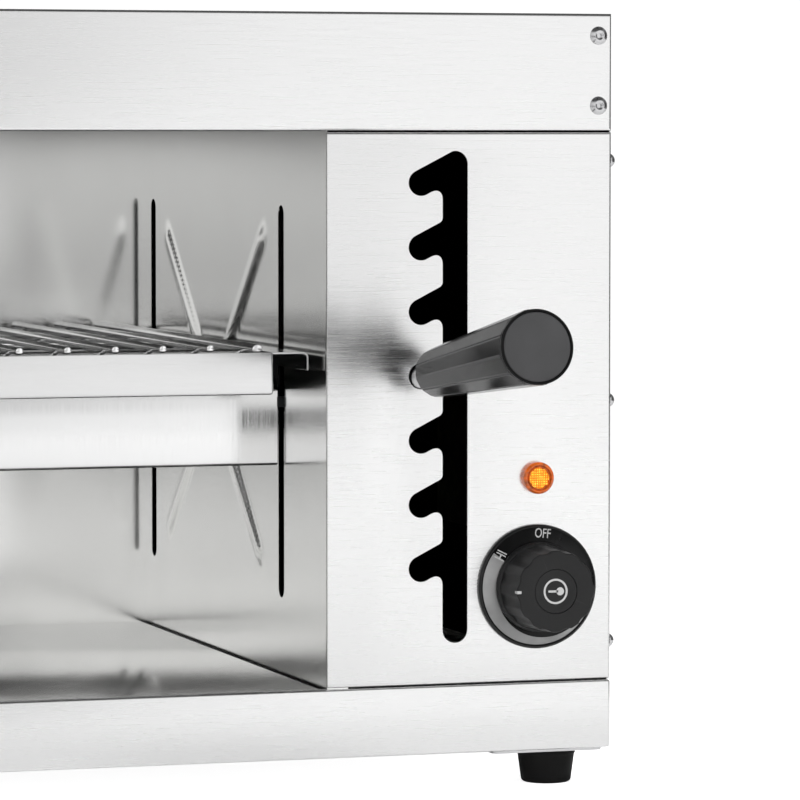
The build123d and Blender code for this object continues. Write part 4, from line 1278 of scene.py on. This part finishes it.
class GRILL_OT_handle(Operator):
    """Grip with long flats, a round front ring and a matt cap, on its steel rod"""
    bl_idname = "grill.handle"
    bl_label = "Handle"

    def execute(self, context):
        flats = context.scene.grill_grip.flats
        place = handle_place()
        start, end, rear_r, front_r, cap_r = 136.8, 301.2, 12.9, 19.3, 17.8
        ring, nose = 2.5, 4.5
        body_end = end - ring
        rings = [(rear_r - nose + nose * sin(a), start + nose * (1 - cos(a)))
                 for a in (radians(d) for d in range(0, 91, 15))]
        slope = (front_r - rear_r) / (end - start)
        rings += [(rear_r + slope * (h - start), h) for h in (start + 30, start + 80, body_end - 3)]
        rings.append((rings[-1][0], body_end))
        bm = bmesh.new()
        stations(bm, flats, rings)
        bmesh.ops.rotate(bm, cent=(0, 0, 0), matrix=Matrix.Rotation(pi / flats, 3, "Z"), verts=bm.verts)
        sides = faces_where(bm, lambda p: start + nose < p.z < body_end - 0.5 and p.xy.length > 5)
        strips = [[f for f in sides if round((atan2(f.calc_center_median().y, f.calc_center_median().x)
                                              / (2 * pi / flats))) % flats == i] for i in range(flats)]
        for strip in strips:
            bmesh.ops.inset_region(bm, faces=strip, thickness=0.4, depth=-0.7, use_even_offset=True)
        obj = piece("grip_body", bm, "grip_black", "handle", ["handle_grip"], place=place, angle=20)
        soften(obj, 0.00045, 2, 20)
        rim = bmesh.new()
        lathe(rim, [(7, body_end - 0.5), (front_r - 0.5, body_end - 0.5), (front_r, body_end + 0.2),
                    (front_r, end), (cap_r + 0.3, end), (cap_r + 0.1, end - 1.6), (7, end - 1.6)], 96,
              ((2, 0.2), (3, 0.6), (4, 0.2)), 4)
        piece("grip_ring", rim, "grip_black", "handle", place=place, angle=50)
        cap = bmesh.new()
        lathe(cap, [(0, end - 1.6), (cap_r, end - 1.6), (cap_r, end - 0.6), (cap_r - 1.2, end - 0.45),
                    (0, end - 0.4)], 96, ((2, 0.2),), 2)
        piece("cap_plate", cap, "grip_cap_grey", "handle", ["grip_cap"], place=place, angle=50)
        return {"FINISHED"}


# ---------------------------------------------------------------- stage

class GRILL_OT_stage(Operator):
    """Pale floor that is lifted towards white for the camera, soft light, surroundings and camera"""
    bl_idname = "grill.stage"
    bl_label = "Stage"

    def execute(self, context):
        s = context.scene.grill_stage
        bm = bmesh.new()
        bmesh.ops.create_circle(bm, cap_ends=True, segments=96, radius=FLOOR_RADIUS)
        floor = new_object("floor", mesh_of("floor", bm))
        tint = tuple(context.scene.grill_colours.floor)
        paper = Finish("floor_paper").set(Emission_Color=(1, 1, 1, 1))
        seen = paper.nodes.new("ShaderNodeLightPath").outputs["Is Camera Ray"]
        paper.links.new(paper.remap(seen, 0.08, s.floor_glow, 0.0, 1.0),
                        paper.shader.inputs["Emission Strength"])
        clouds = paper.noise((3, 3, 3))
        paper.paint(paper.blend(paper.remap(clouds, 0.0, 1.0), shade_of(tint, 0.995), tint))
        paper.rough(paper.remap(clouds, 0.88, 0.94))
        floor.data.materials.append(paper.material)
        self.surroundings(context.scene, s.world)
        data = bpy.data.lights.new("overhead", "AREA")
        data.shape = "DISK"
        data.size = LAMP_SIZE
        data.energy = s.overhead
        light = new_object("overhead", data)
        light.location = LAMP_PLACE
        light.visible_glossy = False
        self.camera(context.scene)
        return {"FINISHED"}

    def surroundings(self, scene, strength):
        """Brightness by direction: bright to the front right, dark to the right and overhead, and
        plain white to the camera."""
        world = bpy.data.worlds.new("studio")
        scene.world = world
        world.use_nodes = True
        nodes, links = world.node_tree.nodes, world.node_tree.links
        background = nodes["Background"]
        background.inputs["Strength"].default_value = strength
        split = nodes.new("ShaderNodeSeparateXYZ")
        links.new(nodes.new("ShaderNodeTexCoord").outputs["Generated"], split.inputs["Vector"])

        def profile(axis, stops):
            spread = nodes.new("ShaderNodeMapRange")
            spread.inputs["From Min"].default_value = -1.0
            links.new(split.outputs[axis], spread.inputs["Value"])
            ramp = nodes.new("ShaderNodeValToRGB")
            ramp.color_ramp.interpolation = "EASE"
            for i, (place, value) in enumerate(stops):
                elements = ramp.color_ramp.elements
                stop = elements[i] if i < 2 else elements.new(1.0)
                stop.position = (place + 1) / 2
                stop.color = (value, value, value, 1.0)
            links.new(spread.outputs["Result"], ramp.inputs["Fac"])
            return ramp.outputs["Color"]

        def combine(kind, factor, first, second):
            node = nodes.new("ShaderNodeMix")
            node.data_type = "RGBA"
            node.blend_type = kind
            for socket, value in zip((0, 6, 7), (factor, first, second)):
                if isinstance(value, bpy.types.NodeSocket):
                    links.new(value, node.inputs[socket])
                else:
                    node.inputs[socket].default_value = value
            return node.outputs[2]

        white = (1.0, 1.0, 1.0, 1.0)
        above = profile("X", ((-1, 0.7), (1, 0.03), (-0.35, 0.95), (0.2, 0.6), (0.31, 1.02), (0.6, 1.0),
                              (0.72, 0.03)))
        below = profile("X", ((-1, 0.4), (1, 0.03), (-0.35, 0.1), (0.08, 0.2), (0.25, 1.0), (0.6, 1.0),
                              (0.72, 0.03)))
        front = combine("MIX", profile("Z", ((-0.08, 0.0), (0.02, 1.0))), below, above)
        behind = profile("X", ((-1, 0.8), (1, 0.1), (0.2, 0.75), (0.45, 0.15)))
        around = combine("MIX", profile("Y", ((0.0, 0.0), (0.25, 1.0))), front, behind)
        lit = combine("MULTIPLY", 1.0, around, profile("Z", ((0.4, 1.0), (0.72, 0.1))))
        seen = nodes.new("ShaderNodeLightPath").outputs["Is Camera Ray"]
        links.new(combine("MIX", seen, lit, white), background.inputs["Color"])

    def camera(self, scene):
        data = bpy.data.cameras.new("camera")
        data.lens = CAMERA_LENS
        data.sensor_width = CAMERA_SENSOR
        obj = new_object("camera", data)
        obj.location = corner + Vector(CAMERA_PLACE) * MM
        obj.rotation_euler = (radians(CAMERA_TILT), 0, radians(CAMERA_TURN))
        scene.camera = obj
        scene.view_settings.view_transform = "Standard"


# ---------------------------------------------------------------- add-on

OPERATORS = (GRILL_OT_finishes, GRILL_OT_hood, GRILL_OT_comb_panel, GRILL_OT_left_post, GRILL_OT_plinth,
             GRILL_OT_shade_sheets, GRILL_OT_floor_sheet, GRILL_OT_inner_walls, GRILL_OT_rivets,
             GRILL_OT_screws, GRILL_OT_feet, GRILL_OT_dial, GRILL_OT_knob, GRILL_OT_lamp,
             GRILL_OT_rack_shelf, GRILL_OT_tray, GRILL_OT_grid, GRILL_OT_handle, GRILL_OT_stage)


class GRILL_PT_pieces(Panel):
    """Lists the steps that build the grill, with their settings"""
    bl_idname = "GRILL_PT_pieces"
    bl_label = "Salamander grill"
    bl_space_type = "VIEW_3D"
    bl_region_type = "UI"
    bl_category = "Grill"

    def draw(self, context):
        for name in SETTINGS:
            group = getattr(context.scene, name)
            box = self.layout.box()
            for key in group.bl_rna.properties.keys():
                if key not in {"rna_type", "name"}:
                    box.prop(group, key)
        for kind in OPERATORS:
            self.layout.operator(kind.bl_idname)


def register():
    for name, kind in SETTINGS.items():
        bpy.utils.register_class(kind)
        setattr(bpy.types.Scene, name, PointerProperty(type=kind))
    for kind in (*OPERATORS, GRILL_PT_pieces):
        bpy.utils.register_class(kind)


def unregister():
    for kind in (GRILL_PT_pieces, *reversed(OPERATORS)):
        bpy.utils.unregister_class(kind)
    for name, kind in SETTINGS.items():
        delattr(bpy.types.Scene, name)
        bpy.utils.unregister_class(kind)


def main():
    """Registers the add-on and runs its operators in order."""
    register()
    for kind in OPERATORS:
        getattr(bpy.ops.grill, kind.bl_idname.split(".")[1])()


if __name__ == "__main__":
    main()
